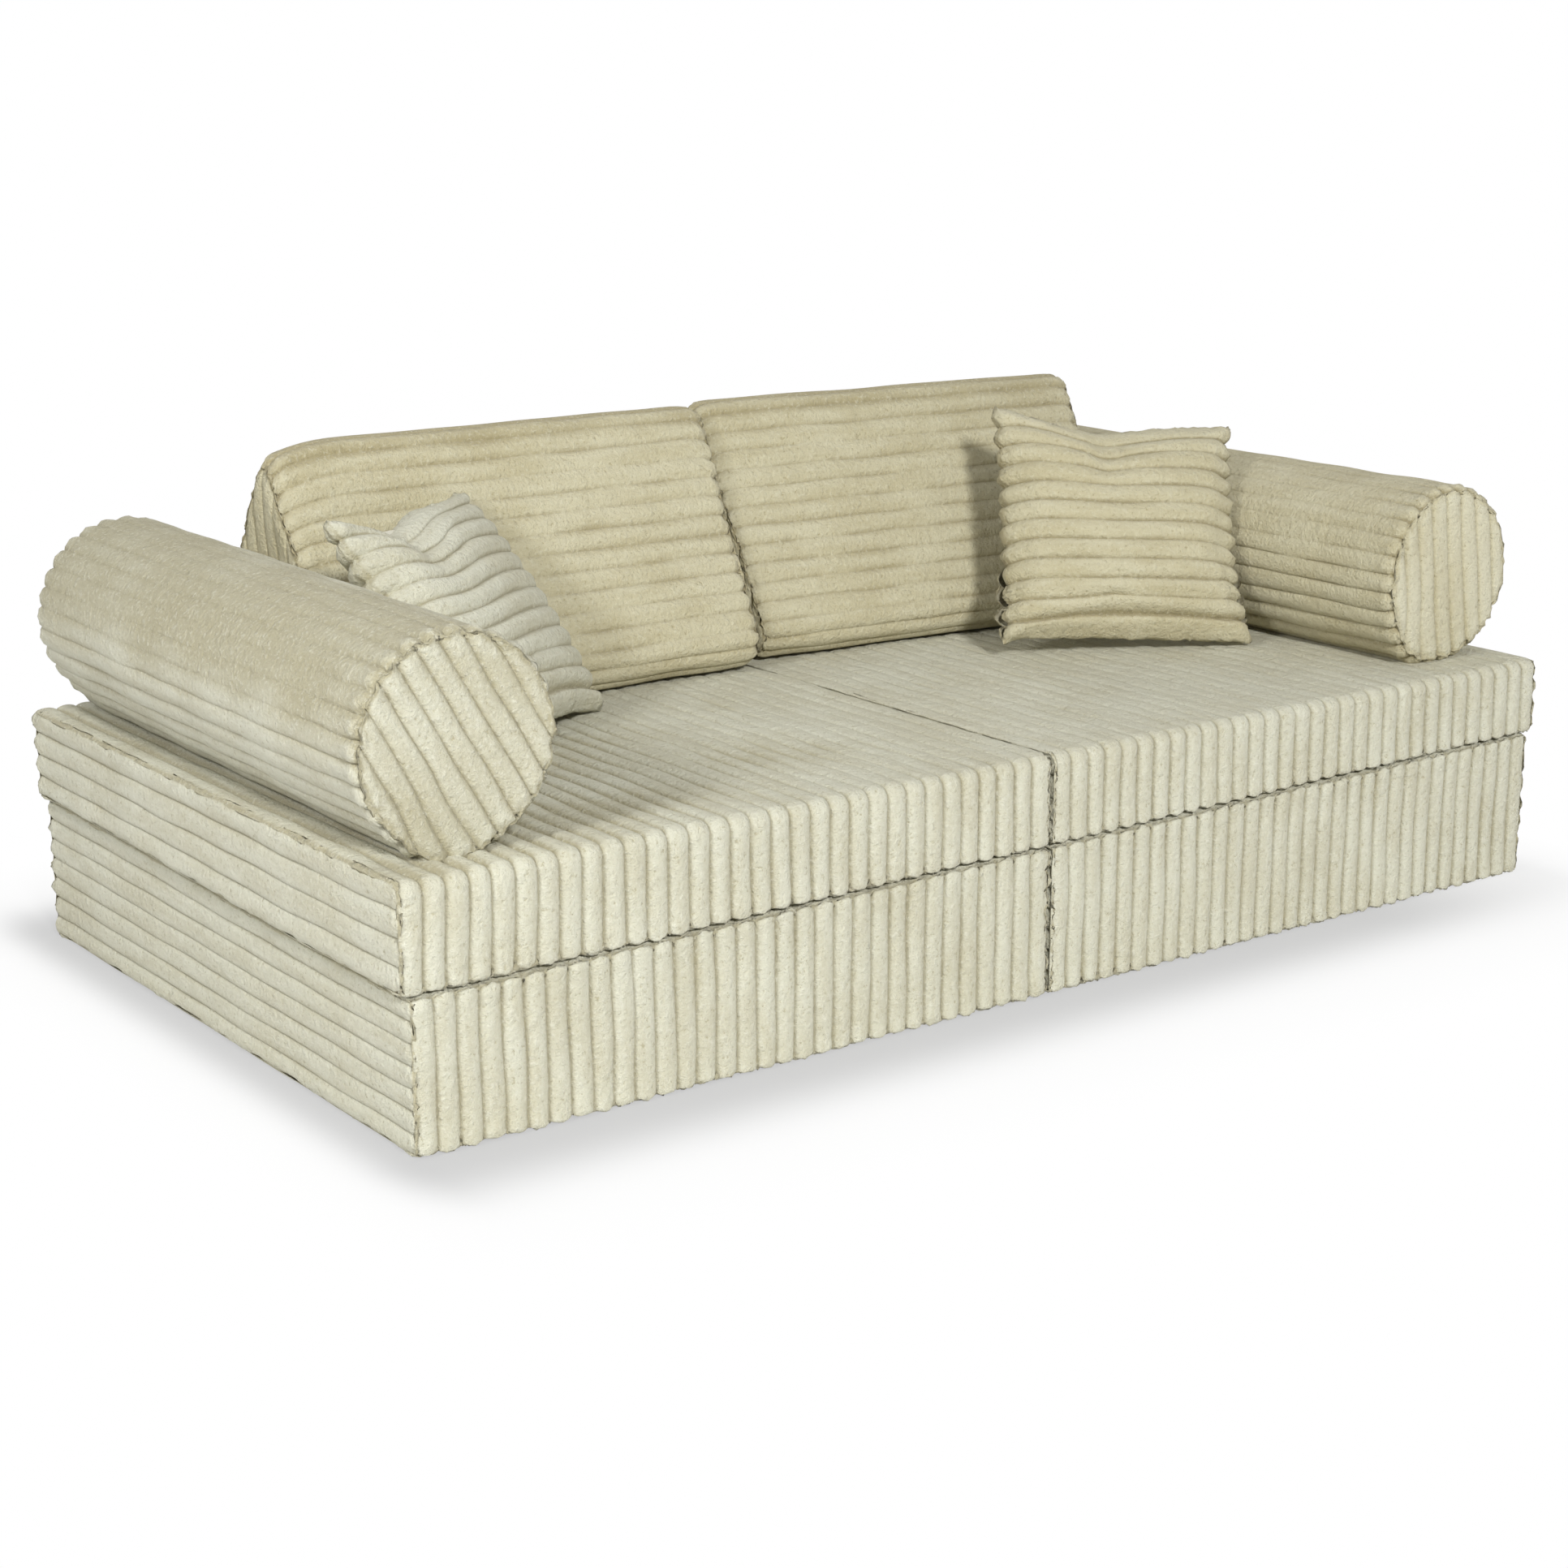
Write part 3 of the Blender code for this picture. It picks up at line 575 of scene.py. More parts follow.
def slab_cover(name, top_edge, seam_corners, seed):
    """A slab: one ribbed wrap round its section, and an end panel with ribs along the depth."""
    space = Space(name)
    width, depth, height = space.size
    outer = -space.rightwards if space.side == "left" else space.rightwards
    inlets = {outer: seam_inlet, -outer: inner_inlets[space.side]}
    low_end = inlets[-1] - width / 2
    high_end = width / 2 - inlets[1]
    outline = rounded_outline(
        ((-depth / 2, 0), (-depth / 2, height), (depth / 2, height), (depth / 2, 0)),
        (slab_edge, top_edge, slab_edge, slab_edge),
    )
    zip_place = outline.place_of((depth / 2, space.tape_middle[2]))
    seams = [outline.bends[0 if corner in (0, 2) else 1][corner] for corner in seam_corners]
    clusters = [(corner, bend_steps, bend_clear) for corner in outline.corners]
    clusters += [(seam, seam_offsets, seam_clear) for seam in seams]
    clusters.append((zip_place, slot_offsets, slot_clear))
    rows = spread(outline.length, along_step, clusters, closed=True)
    columns, across, ribs = rib_places(high_end - low_end, space.slot_ends - low_end)
    xs = columns + low_end
    down = rows[:, None]
    over = xs[None, :]

    random = np.random.default_rng(seed)
    starts = (0, outline.corners[1] + slab_top_margins[0], outline.corners[2] - slab_top_margins[1])
    relief, patches, on_top = (
        stretch(rows, tuple(zip(starts, numbers)))[:, None] for numbers in (slab_relief, slab_patches, (0, 1, 0))
    )
    beside = space.outside(np.stack([xs, 0 * xs, 0 * xs], -1))[:, 0]
    crisp_and_shaded = on_top * ease(-beside, *slab_crisp_and_shaded_reach)[None, :]
    relief = relief * (1 + slab_top_gain * (crisp_and_shaded - 0.5 * on_top))
    relief = relief * brushed(down, over, patches * (1 - 0.6 * crisp_and_shaded), seed + 3)
    hidden = [(outline.bends[1][3], outline.length)]
    if top_edge == slab_edge:
        hidden.append((outline.bends[1][1], outline.bends[0][2]))
    for start, end in hidden:
        within = np.minimum(down - start, end - down)
        relief = relief * np.where(within > 0, ease(within, *flat_seam), 1)
    inset = rib_inset(across, softness["slab"])[None, :] * relief
    # Painted shade along the seams
    painted_seam_shade = np.zeros((len(rows), 1))
    for seam in seams:
        away = np.abs(down - seam)
        away = np.minimum(away, outline.length - away)
        painted_seam_shade = painted_seam_shade + seam_painted_shade * np.exp(-away / seam_painted_shade_reach)
        inset = inset + finger_inset(away + rib_play(random, ribs), across)
        inset = inset + puckers(down, over, away, seed + 4)
    inset = inset + slack_inset(down, over, seed)
    to_joint = (high_end - xs if outer < 0 else xs - low_end)[None, :]
    crumbs = crumb_depth * random.uniform(-1, 1, inset.shape)
    inset = np.where(to_joint < joint_width, np.minimum(inset, joint_depth + crumbs), inset)
    inset = zip_inset(inset, np.abs(down - zip_place), xs, space)
    shift = wobble * ripple(down * wobble_grain, over, wobble_wave, seed + 2)
    shift = shift + lean * ripple(down, over * lean_grain, lean_wave, seed + 9)
    shift = shift * np.clip(np.minimum(xs - low_end, high_end - xs) / rib_pitch, 0, 1)

    points, normals = outline.at(rows)
    grid = np.empty((len(rows), len(xs) + 2, 3))
    grid[:, 1:-1, 0] = over + shift
    grid[:, 1:-1, 1:] = points[:, None, :] - normals[:, None, :] * inset[:, :, None]
    for column, x, sign in ((0, low_end, -1), (-1, high_end, 1)):
        grid[:, column, 0] = x
        grid[:, column, 1:] = points - normals * (slab_fold if sign == outer else joint_fold)
    # Painted shade: in the grooves, a little more on the tops and most on the seat tops towards the left, where the
    # left bolster's shadow falls, along the seams and in the folds at the ends
    painted_shade = np.minimum(1, inset / rib_height) * (1 + 0.6 * crisp_and_shaded + 0.05 * on_top) + painted_seam_shade
    painted_shade = np.pad(painted_shade, ((0, 0), (1, 1)), constant_values=slab_fold_painted_shade)

    fabric = Fabric()
    fabric.add(grid, down + seed, np.pad(columns, 1, mode="edge"), painted_shade, closed_rows=True)
    for sign in (-1, 1):
        end_panel(
            fabric, outline.border(seam_depth), sign * width / 2, "depth",
            slab_side_relief, inlets[sign], seed + 7 + sign,
        )
    ribbed = height - 2 * seam_depth
    side_pitch = ribbed / round(ribbed / rib_pitch)

    def scallop(points):
        """Notches the edges of the end panels between their ribs."""
        shaped = points.copy()
        beat = (1 + np.cos(2 * math.pi * (points[:, 2] - seam_depth) / side_pitch)) / 2
        to_face = np.maximum(0, depth / 2 - np.abs(points[:, 1]))
        away = np.maximum(0, width / 2 - outer * points[:, 0]) + to_face
        notch = slab_scallop[space.side] * beat * np.exp(-away / slab_scallop_reach)
        shaped[:, 0] -= 0.4 * outer * notch
        shaped[:, 1] -= np.sign(points[:, 1]) * notch
        away = np.maximum(0, width / 2 + outer * points[:, 0]) + to_face
        notch = joint_scallop * (1 - beat if space.side == "right" else beat) * np.exp(-away / joint_scallop_reach)
        shaped[:, 0] += outer * notch
        shaped[:, 1] -= 0.5 * np.sign(points[:, 1]) * notch
        return shaped

    return fabric.sew(space, (-1, 1), scallop)


def strips(border, places, way):
    """For each place across a panel, where the rib that runs there starts and ends."""
    across = border[:, way]
    along = border[:, 1 - way]
    spans = []
    for place in places:
        ahead = across - place
        behind = np.roll(across, -1) - place
        hit = ahead * behind <= 0
        found = along[hit] + ahead[hit] / (ahead - behind)[hit] * (np.roll(along, -1) - along)[hit]
        spans.append((found.min(), found.max()))
    return np.array(spans)


def border_distance(points, border):
    """The least distance from each point to the panel's border."""
    run = np.roll(border, -1, axis=0) - border
    squares = (run * run).sum(1)
    best = np.full(len(points), np.inf)
    for start, way, square in zip(border, run, squares):
        if square <= 1e-14:
            continue
        share = np.clip(((points - start) @ way) / square, 0, 1)
        best = np.minimum(best, np.linalg.norm(points - start - share[:, None] * way, axis=1))
    return best


def end_panel(fabric, border, x, ribs_run, relief, inlet, seed, painted_light_and_shade=0):
    """A flat end with its own ribs, rounded off towards the seam round it."""
    way = 1 if ribs_run == "depth" else 0
    low = border[:, way].min()
    high = border[:, way].max()
    hair = 0.0001
    places, across, ribs = rib_places(high - low)
    at = np.clip(low + places, low + hair, high - hair)
    spans = strips(border, at, way)
    longest = (spans[:, 1] - spans[:, 0]).max()
    shares = between_seams(longest) / longest

    along = spans[None, :, 0] + (spans[:, 1] - spans[:, 0])[None, :] * shares[:, None]
    grid = np.empty((len(shares), len(at), 3))
    grid[..., 1 + way] = at
    grid[..., 2 - way] = along
    depths = grid[..., 1]
    heights = grid[..., 2]
    distance = border_distance(grid[..., 1:].reshape(-1, 2), border).reshape(along.shape)
    random = np.random.default_rng(seed)
    play = rib_play(random, ribs)
    relief = relief * brushed(along, at, brush_depth, seed + 3)
    inset = relief * rib_inset(across, softness["side"]) + finger_inset(distance + play, across, inlet)
    inset = inset + puckers(depths, heights, distance, seed + 4)
    inset = inset + slack_inset(depths, heights, seed)
    shift = wobble * ripple(along * wobble_grain, at, wobble_wave, seed + 2)
    shift = shift * np.clip(distance / rib_pitch, 0, 1)
    grid[..., 0] = x - math.copysign(1, x) * inset
    grid[..., 1 + way] += shift
    # Painted shade in the grooves and by the seam, plus the panel's own painted shade, which is painted light where it
    # is below zero
    painted_shade = painted_groove_shade(inset, distance, *panel_painted_shade) + painted_light_and_shade
    fabric.add(grid, along + seed, places + seed, painted_shade, flip=x < 0)


def roll_cover(space, outline, ribbed, zip_place, half, ends, marks, painted_top_shade, style, seed, warp=None, painted_light_and_shade=0):
    """A cover whose ribs run along X round its section: the wedge's and the bolster's."""
    reach = half - seam_inlet
    columns = np.unique(np.concatenate((between_seams(2 * reach), reach + space.slot_ends)))
    xs = columns - reach
    rows, across, ribs = rib_places(ribbed, zip_place + slot_offsets)
    if ribbed < outline.length - rib_pitch:
        flat = spread(outline.length - ribbed, hidden_step)[1:-1] + ribbed
        rows = np.concatenate((rows, flat))
        across = np.concatenate((across, np.zeros(len(flat))))
        ribs = np.concatenate((ribs, np.full(len(flat), ribs.max())))
    else:
        rows, across, ribs = rows[:-1], across[:-1], ribs[:-1]
    down = rows[:, None]
    over = xs[None, :]

    rear_sign = math.copysign(1, space.turn[1][0])
    random = np.random.default_rng(seed)
    relief = stretch(rows, marks, roll_relief_blend)[:, None] * brushed(over, down, style["brushed"], seed + 3)
    nearest = reach - np.abs(over)
    at_end = np.where(np.sign(over) == rear_sign, style["rear_end"], style["end"])
    relief = relief + (at_end - relief) * np.exp(-nearest / roll_end_reach)
    to_end = half - np.abs(over)
    drawn = np.where(over < 0, tuck(to_end, ends[-1]), tuck(to_end, ends[1]))
    inset = rib_inset(across, style["soft"])[:, None] * relief + drawn
    inset = inset + puckers(down, over, nearest, seed + 4)
    for distance in (reach + xs, reach - xs):
        play = rib_play(random, ribs)[:, None]
        inset = inset + finger_inset(
            distance + play, across[:, None], style["turn"] * seam_depth, style["puff"] * seam_puff
        )
    inset = inset + slack_inset(down, over, seed)
    aside = np.abs(down - zip_place)
    inset = zip_inset(inset, aside, xs, space)
    fade = np.clip(nearest / rib_pitch, 0, 1) * (down < ribbed)
    shift = wobble * ripple(down, over * wobble_grain, wobble_wave, seed + 2) * fade
    shift = np.where(aside < 2 * slot_half, 0, shift)

    points, normals = outline.at(down + shift)
    notch = style["notch"] * np.abs(across) ** 3 + ragged_edge * random.uniform(0, 1, len(rows))
    grid = np.empty((len(rows), len(xs) + 2, 3))
    grid[:, 1:-1, 0] = over - np.sign(over) * notch[:, None] * np.exp(-nearest / notch_reach)
    grid[:, 1:-1, 1:] = points - normals * inset[:, :, None]
    points, normals = outline.at(rows)
    for sign, column in ((-1, 0), (1, -1)):
        grid[:, column, 0] = sign * (reach - notch)
        grid[:, column, 1:] = points - normals * (style["fold"] + tuck(seam_inlet, ends[sign]))
    # Painted shade in the grooves and on the top, and in the folds at the ends
    painted_shade = np.clip((inset - drawn) / rib_height, 0, 1) + stretch(rows, painted_top_shade, roll_painted_shade_blend)[:, None]
    painted_shade = np.pad(painted_shade, ((0, 0), (1, 1)), constant_values=roll_fold_painted_shade)

    fabric = Fabric()
    fabric.add(grid, np.pad(columns, 1, mode="edge") + seed, down, painted_shade, closed_rows=True)
    beats = np.cos(2 * math.pi * outline.places[:-1] * round(ribbed / rib_pitch) / ribbed)
    for sign in (-1, 1):
        ragged = random.uniform(-0.5, 0.5, len(beats)) * ragged_edge * (style["scallop"] > 0)
        scallop = style["scallop"] * (rear_scallop if sign == rear_sign else 1)
        set_in = style["set_in"] + scallop * (1 + beats) / 2 + ragged + tuck(seam_inlet / 2, ends[sign])
        border = outline.border(set_in[:, None])
        end_panel(fabric, border, sign * half, "height", style["side"], style["inlet"], seed + 7 + sign, painted_light_and_shade)
    return fabric.sew(space, (-1, 1), warp)


def backrest_cover(name, seed):
    """A wedge that widens upwards, with soft upper corners and a plain underside."""
    space = Space(name)
    half = wedge_depth / 2
    apex = (2 * wedge_apex_share - 1) * half
    outline = rounded_outline(((-half, 0), (apex, wedge_rise), (half, 0)), wedge_radii)
    outward = np.array([0, wedge_rise, half - apex])
    outward /= np.linalg.norm(outward)
    rear = ((space.tape @ outward).min() + cover_depth - filling_gap) / outward[1]
    space.origin[1] += rear - half
    zip_place = outline.place_of(space.tape_middle[1:] - (rear - half, 0))
    half_length = space.size[0] / 2 - wedge_flare * (space.size[2] - wedge_end[0]) / wedge_rise

    def flare(points):
        flared = points.copy()
        share = np.clip(points[:, 2] / wedge_rise, 0, 1)
        outer = (points[:, 0] * space.rightwards < 0) & (space.side == "left")
        swell = wedge_swell * ease(share, *wedge_swell_shares) + outer * wedge_belly * np.sin(math.pi * share)
        flared[:, 0] *= 1 + (wedge_flare * share + swell) / half_length
        away = half_length - np.abs(points[:, 0])
        drop = np.where(outer, tuck(away, wedge_corner["outer"]), tuck(away, wedge_corner["inner"]))
        flared[:, 2] -= drop * ease(share, *wedge_drop_shares)
        return flared

    marks = ((0, wedge_fronts[space.side]), (outline.corners[1], wedge_style["rear"]))
    # Painted shade on the wedge's top
    painted_top_shade = ((0, 0), (outline.corners[1] - wedge_top_lead, wedge_top_painted_shade))
    return roll_cover(
        space, outline, outline.bends[1][2], zip_place, half_length, {-1: wedge_end, 1: wedge_end},
        marks, painted_top_shade, wedge_style, seed, flare,
    )


def bolster_cover(name, seed):
    """A round bolster, ribbed all round, whose flank away from the zip sags."""
    space = Space(name)
    outline = circle_outline(space.size[2] / 2)
    _, middle_deep, middle_up = space.tape_middle
    angle = math.atan2(middle_up, middle_deep)
    zip_place = np.mod(-(angle + math.pi / 2), 2 * math.pi) * space.size[2] / 2
    start, end = (share * outline.length for share in bolster_top_shares)
    marks = ((0, bolster_style["low"]), (start, bolster_style["top"]), (end, bolster_style["low"]))
    # The painted shade on the bolster's top
    start, end = (share * outline.length for share in bolster_painted_shade_shares)
    painted_top_shade = ((0, 0), (start, bolster_top_painted_shade[space.side]), (end, 0))
    front, rear = bolster_ends[space.side]
    ends = {-1: front, 1: rear} if space.turn[1][0] > 0 else {-1: rear, 1: front}
    away_from_zip = -math.copysign(1, middle_deep)

    def sag(points):
        sagged = points.copy()
        angle = np.arctan2(points[:, 2], away_from_zip * points[:, 1])
        share = np.exp(-(((angle - bolster_sag_place) / bolster_sag_reach) ** 2))
        sagged[:, 1:] *= 1 + 2 * bolster_sag / space.size[2] * share[:, None]
        sagged[:, 2] = np.maximum(sagged[:, 2], -space.size[2] / 2)
        return sagged

    # The end caps take painted shade on the left bolster and painted light on the right one
    return roll_cover(
        space, outline, outline.length, zip_place, space.size[0] / 2, ends,
        marks, painted_top_shade, bolster_style, seed, sag, cap_painted_light_and_shade[space.side],
    )


def pillow_form(across, up, size, dip):
    """A settled pillow's seam plane place and half thickness at shares -1 to 1 across and up."""
    width, thickness, height = size
    place, reach, depth = dip
    high = np.clip((1 + up) / 2, 0, 1) ** pillow_fall
    low = np.clip((1 - up) / 2, 0, 1) ** pillow_fall
    corner = np.abs(across) ** pillow_corner_fall * np.abs(up) ** pillow_corner_fall
    grown = width / 2 + pillow_grow - pillow_pull * (1 - up * up)
    x = across * (grown + pillow_tuft * (corner - pillow_corner_share))
    z = height / 2 * (1 + up) - depth * high * np.exp(-((across - place) / reach) ** 2)
    z = z + pillow_arch * low * (1 - across * across) + up * pillow_tuft * pillow_corner_share * (corner - 1)
    swell = np.clip((1 - across * across) * (1 - up * up), 0, 1) ** pillow_fullness
    crease = np.exp(-((across - place + 0.05 * np.sin(4 * up)) / pillow_crease_width) ** 2)
    crease = pillow_crease * crease * ease(up, 0.1, 1.0)
    border = np.minimum((1 - np.abs(across)) * width / 2, (1 - np.abs(up)) * height / 2)
    flat = 1 - np.clip(border / pillow_plush, 0, 1)
    rim = pillow_plush * np.sqrt(1 - flat * flat)
    return x, np.hypot(thickness / 2 * swell * (1 - crease), rim), z


def rim_of(shape):
    """True along the four edges of a grid."""
    rim = np.ones(shape, bool)
    rim[1:-1, 1:-1] = False
    return rim


def stuff(space, dip, seed):
    """Blows a pillow's two sheets up as cloth; gives how far each place of each sheet moved."""
    shares = np.linspace(-1, 1, cloth_cells + 1)
    x, deep, z = pillow_form(shares[None, :], shares[:, None], space.size, dip)
    random = np.random.default_rng(seed)
    deep = deep * cloth_start + cloth_roughness * random.standard_normal(deep.shape)
    rim = rim_of(deep.shape)
    front = np.stack([np.broadcast_to(x, deep.shape), np.where(rim, 0, -deep), z], -1)
    back = front * (1, -1, 1)
    index = np.arange(deep.size).reshape(deep.shape)
    behind = index.copy()
    behind[~rim] = deep.size + np.arange((~rim).sum())
    faces = np.concatenate((quads_of(index), quads_of(behind[:, ::-1])))
    points = np.concatenate((front.reshape(-1, 3), back[~rim]))
    mesh = bpy.data.meshes.new("stuffed_pillow")
    mesh.from_pydata(points.tolist(), [], faces.tolist())
    sack = add_object("stuffed_pillow", mesh)
    cloth = sack.modifiers.new("cloth", "CLOTH")
    for label, value in cloth_style.items():
        setattr(cloth.settings, label, value)
    cloth.settings.effector_weights.gravity = 0
    cloth.point_cache.frame_start = 1
    cloth.point_cache.frame_end = cloth_frames
    scene = bpy.context.scene
    for number in range(1, cloth_frames + 1):
        scene.frame_set(number)
    blown = sack.evaluated_get(bpy.context.evaluated_depsgraph_get()).to_mesh()
    moved = np.empty(len(points) * 3)
    blown.vertices.foreach_get("co", moved)
    moved = moved.reshape(-1, 3) - points
    scene.frame_set(1)
    bpy.data.objects.remove(sack, do_unlink=True)
    bpy.data.meshes.remove(mesh)
    moved = moved - moved.mean(0)
    reach = np.linalg.norm(moved, axis=1, keepdims=True)
    moved = moved * np.minimum(1, cloth_cap / np.maximum(reach, 1e-9))
    return {-1: moved[index], 1: moved[behind]}


def sample(field, across, up):
    """Reads a field of the cloth's grid at shares -1 to 1 across and up."""
    column, row = (np.clip((share + 1) / 2 * cloth_cells, 0, cloth_cells - 1e-6) for share in (across, up))
    left = column.astype(int)
    low = row.astype(int)
    column_share = (column - left)[..., None]
    row_share = (row - low)[..., None]
    near, far = (
        field[at, left] * (1 - column_share) + field[at, left + 1] * column_share for at in (low, low + 1)
    )
    return near * (1 - row_share) + far * row_share


def pillow_cover(name, seed):
    """Two ribbed sheets sewn at their edges and filled."""
    space = Space(name)
    width, thickness, height = space.size
    zip_place = space.tape_middle[2]
    rows, across, ribs = rib_places(height, zip_place + slot_offsets)
    columns = np.unique(np.concatenate((between_seams(width, along_step / 2), width / 2 + space.slot_ends)))
    down = rows[:, None]
    over = columns[None, :]
    shape = (len(rows), len(columns))
    share_across = np.broadcast_to(over * 2 / width - 1, shape)
    share_up = np.broadcast_to(down * 2 / height - 1, shape)
    place, reach, depth = pillow_dips[space.side]
    dip = (place * space.rightwards, reach, depth)
    x, deep, z = pillow_form(share_across, share_up, space.size, dip)
    random = np.random.default_rng(seed)
    ragged = random.uniform(-1, 1, shape) * ragged_edge
    ragged = ragged + pillow_ragged * ripple(down, np.sign(share_across), pillow_ragged_wave, seed + 6)
    scallop = pillow_scallop * (0.4 - np.abs(across) ** 2.2)[:, None] + ragged
    x = x + np.sign(share_across) * scallop * np.abs(share_across) ** 10
    droop = pillow_droops[space.side] * (1 - share_across * space.rightwards) / 2
    z = z + ragged * np.sign(share_up) * np.abs(share_up) ** 20 - droop * np.clip((1 - share_up) / 2, 0, 1)
    moved = stuff(space, dip, seed)

    back_level = space.tape_level - filling_gap + cover_depth
    aside = np.abs(down - zip_place)
    near = np.clip((aside - 0.7 * tape_width) / tape_width, 0, 1)
    flat_back = np.where(near < 1, np.minimum(deep, back_level + near * thickness / 2), deep)
    nearest = np.minimum(over, width - over)
    relief = pillow_relief * brushed(over, down, brush_depth, seed + 3)
    ribbed = rib_inset(across, softness["pillow"])[:, None] * relief
    ribbed = ribbed + puckers(down, over, nearest, seed + 4)
    ribbed = ribbed + 0.6 * puckers(down, over, np.minimum(down, height - down), seed + 5)
    hem = height / max(1, round(height / rib_pitch))
    fabric = Fabric()
    for face, surface in ((-1, deep), (1, flat_back)):
        inset = ribbed
        for distance in (over, width - over):
            play = rib_play(random, ribs)[:, None]
            inset = inset + finger_inset(distance + play, across[:, None], puff=2 * seam_puff)
        inset = inset + pillow_hem * np.exp(-((down - hem) / pillow_hem_width) ** 2)
        inset = inset * np.clip(surface / rib_height / 2, 0, 1)
        if face > 0:
            inset = zip_inset(inset, aside, columns - width / 2, space)
        half = np.maximum(surface - inset, pillow_least)
        grid = np.stack([x, np.where(rim_of(shape), 0, face * half), z], -1)
        if moved is not None:
            shift = sample(moved[face], share_across, share_up)
            if face > 0:
                shift = shift * ease(aside, *pillow_zip_flat)[..., None]
            grid = grid + shift
        # Painted shade in the grooves and by the pillow's seams
        painted_shade = painted_groove_shade(inset, nearest, *pillow_painted_shade)
        fabric.add(grid, over + seed + face, down, painted_shade, flip=face < 0)
    piece = fabric.sew(space)
    weld(piece)
    for vert in piece.data.vertices:
        vert.co.z = max(vert.co.z, seat_levels[1] + pillow_rest)
    return piece


def weld(piece):
    """Joins the two sheets of a pillow where their edges meet."""
    with editing(piece.data) as bm:
        bmesh.ops.remove_doubles(bm, verts=[v for v in bm.verts if v.is_boundary], dist=weld_distance)
        bmesh.ops.recalc_face_normals(bm, faces=bm.faces)
    piece.data.shade_smooth()


def add_filling(node):
    """The foam block inside a cover, its edges eased."""
    mesh = frame["nodes"][node].data.copy()
    with editing(mesh) as bm:
        bmesh.ops.remove_doubles(bm, verts=bm.verts, dist=2 * weld_distance)
        bmesh.ops.dissolve_limit(bm, angle_limit=math.radians(1), verts=bm.verts, edges=bm.edges)
        sharp = [edge for edge in bm.edges if edge.calc_face_angle(0) > filling_crease]
        bmesh.ops.bevel(bm, geom=sharp, offset=filling_edge, segments=3, affect="EDGES", clamp_overlap=True)
    kind = node.split("_")[0]
    if kind in ("base", "seat"):
        points = np.array([vert.co for vert in mesh.vertices])
        mesh.vertices.foreach_set("co", sink_seam(points, kind).astype(np.float32).ravel())
    mesh.shade_smooth()
    mesh.set_sharp_from_angle(angle=filling_crease)
    mesh.materials.clear()
    return add_object(node + "_block", mesh)


# Materials
class Tree:
    """The nodes of a material or a world; an input takes a number, a colour or another node's socket."""

    def __init__(self, owner):
        owner.use_nodes = True
        self.nodes = owner.node_tree.nodes
        self.links = owner.node_tree.links

    def put(self, socket, value):
        if isinstance(value, bpy.types.NodeSocket):
            self.links.new(value, socket)
        else:
            socket.default_value = value

    def fill(self, node, inputs):
        for label, value in inputs.items():
            self.put(node.inputs[label], value)

    def add(self, kind, inputs=None, **settings):
        node = self.nodes.new("ShaderNode" + kind)
        for label, value in settings.items():
            setattr(node, label, value)
        self.fill(node, inputs or {})
        return node

    def noise(self, vector, scale, detail, roughness):
        inputs = {"Vector": vector, "Scale": scale, "Detail": detail, "Roughness": roughness}
        return self.add("TexNoise", inputs).outputs["Fac"]

    def ramp(self, value, low, high, low_value=0.0, high_value=1.0):
        inputs = {"Value": value, "From Min": low, "From Max": high, "To Min": low_value, "To Max": high_value}
        return self.add("MapRange", inputs, interpolation_type="SMOOTHSTEP").outputs["Result"]

    def mix(self, share, first, second):
        """Mixes two colours."""
        node = self.add("Mix", {"Factor": share}, data_type="RGBA")
        sockets = [socket for socket in node.inputs if socket.type == "RGBA"]
        for socket, colour in zip(sockets, (first, second)):
            self.put(socket, colour)
        return next(socket for socket in node.outputs if socket.type == "RGBA")

    def math(self, operation, *values):
        return self.add("Math", dict(enumerate(values)), operation=operation).outputs["Value"]

    def blend(self, share, first, second, output):
        """Mixes two shaders into the output."""
        mixed = self.add("MixShader", {"Fac": share, 1: first, 2: second})
        self.fill(self.nodes[output], {"Surface": mixed.outputs["Shader"]})


def new_material(name, roughness, metallic=0.0):
    """A material, its nodes, its shader and the place on the object that its textures read."""
    material = bpy.data.materials.new(name)
    tree = Tree(material)
    shader = tree.nodes["Principled BSDF"]
    tree.fill(shader, {"Roughness": roughness, "Metallic": metallic})
    return material, tree, shader, tree.add("TexCoord").outputs["Object"]


def finish_surface(tree, shader, colour, height, strength, distance):
    """Gives the shader its colour and its small relief."""
    bump = tree.add("Bump", {"Strength": strength, "Distance": distance, "Height": height})
    tree.fill(shader, {"Base Color": colour, "Normal": bump.outputs["Normal"]})


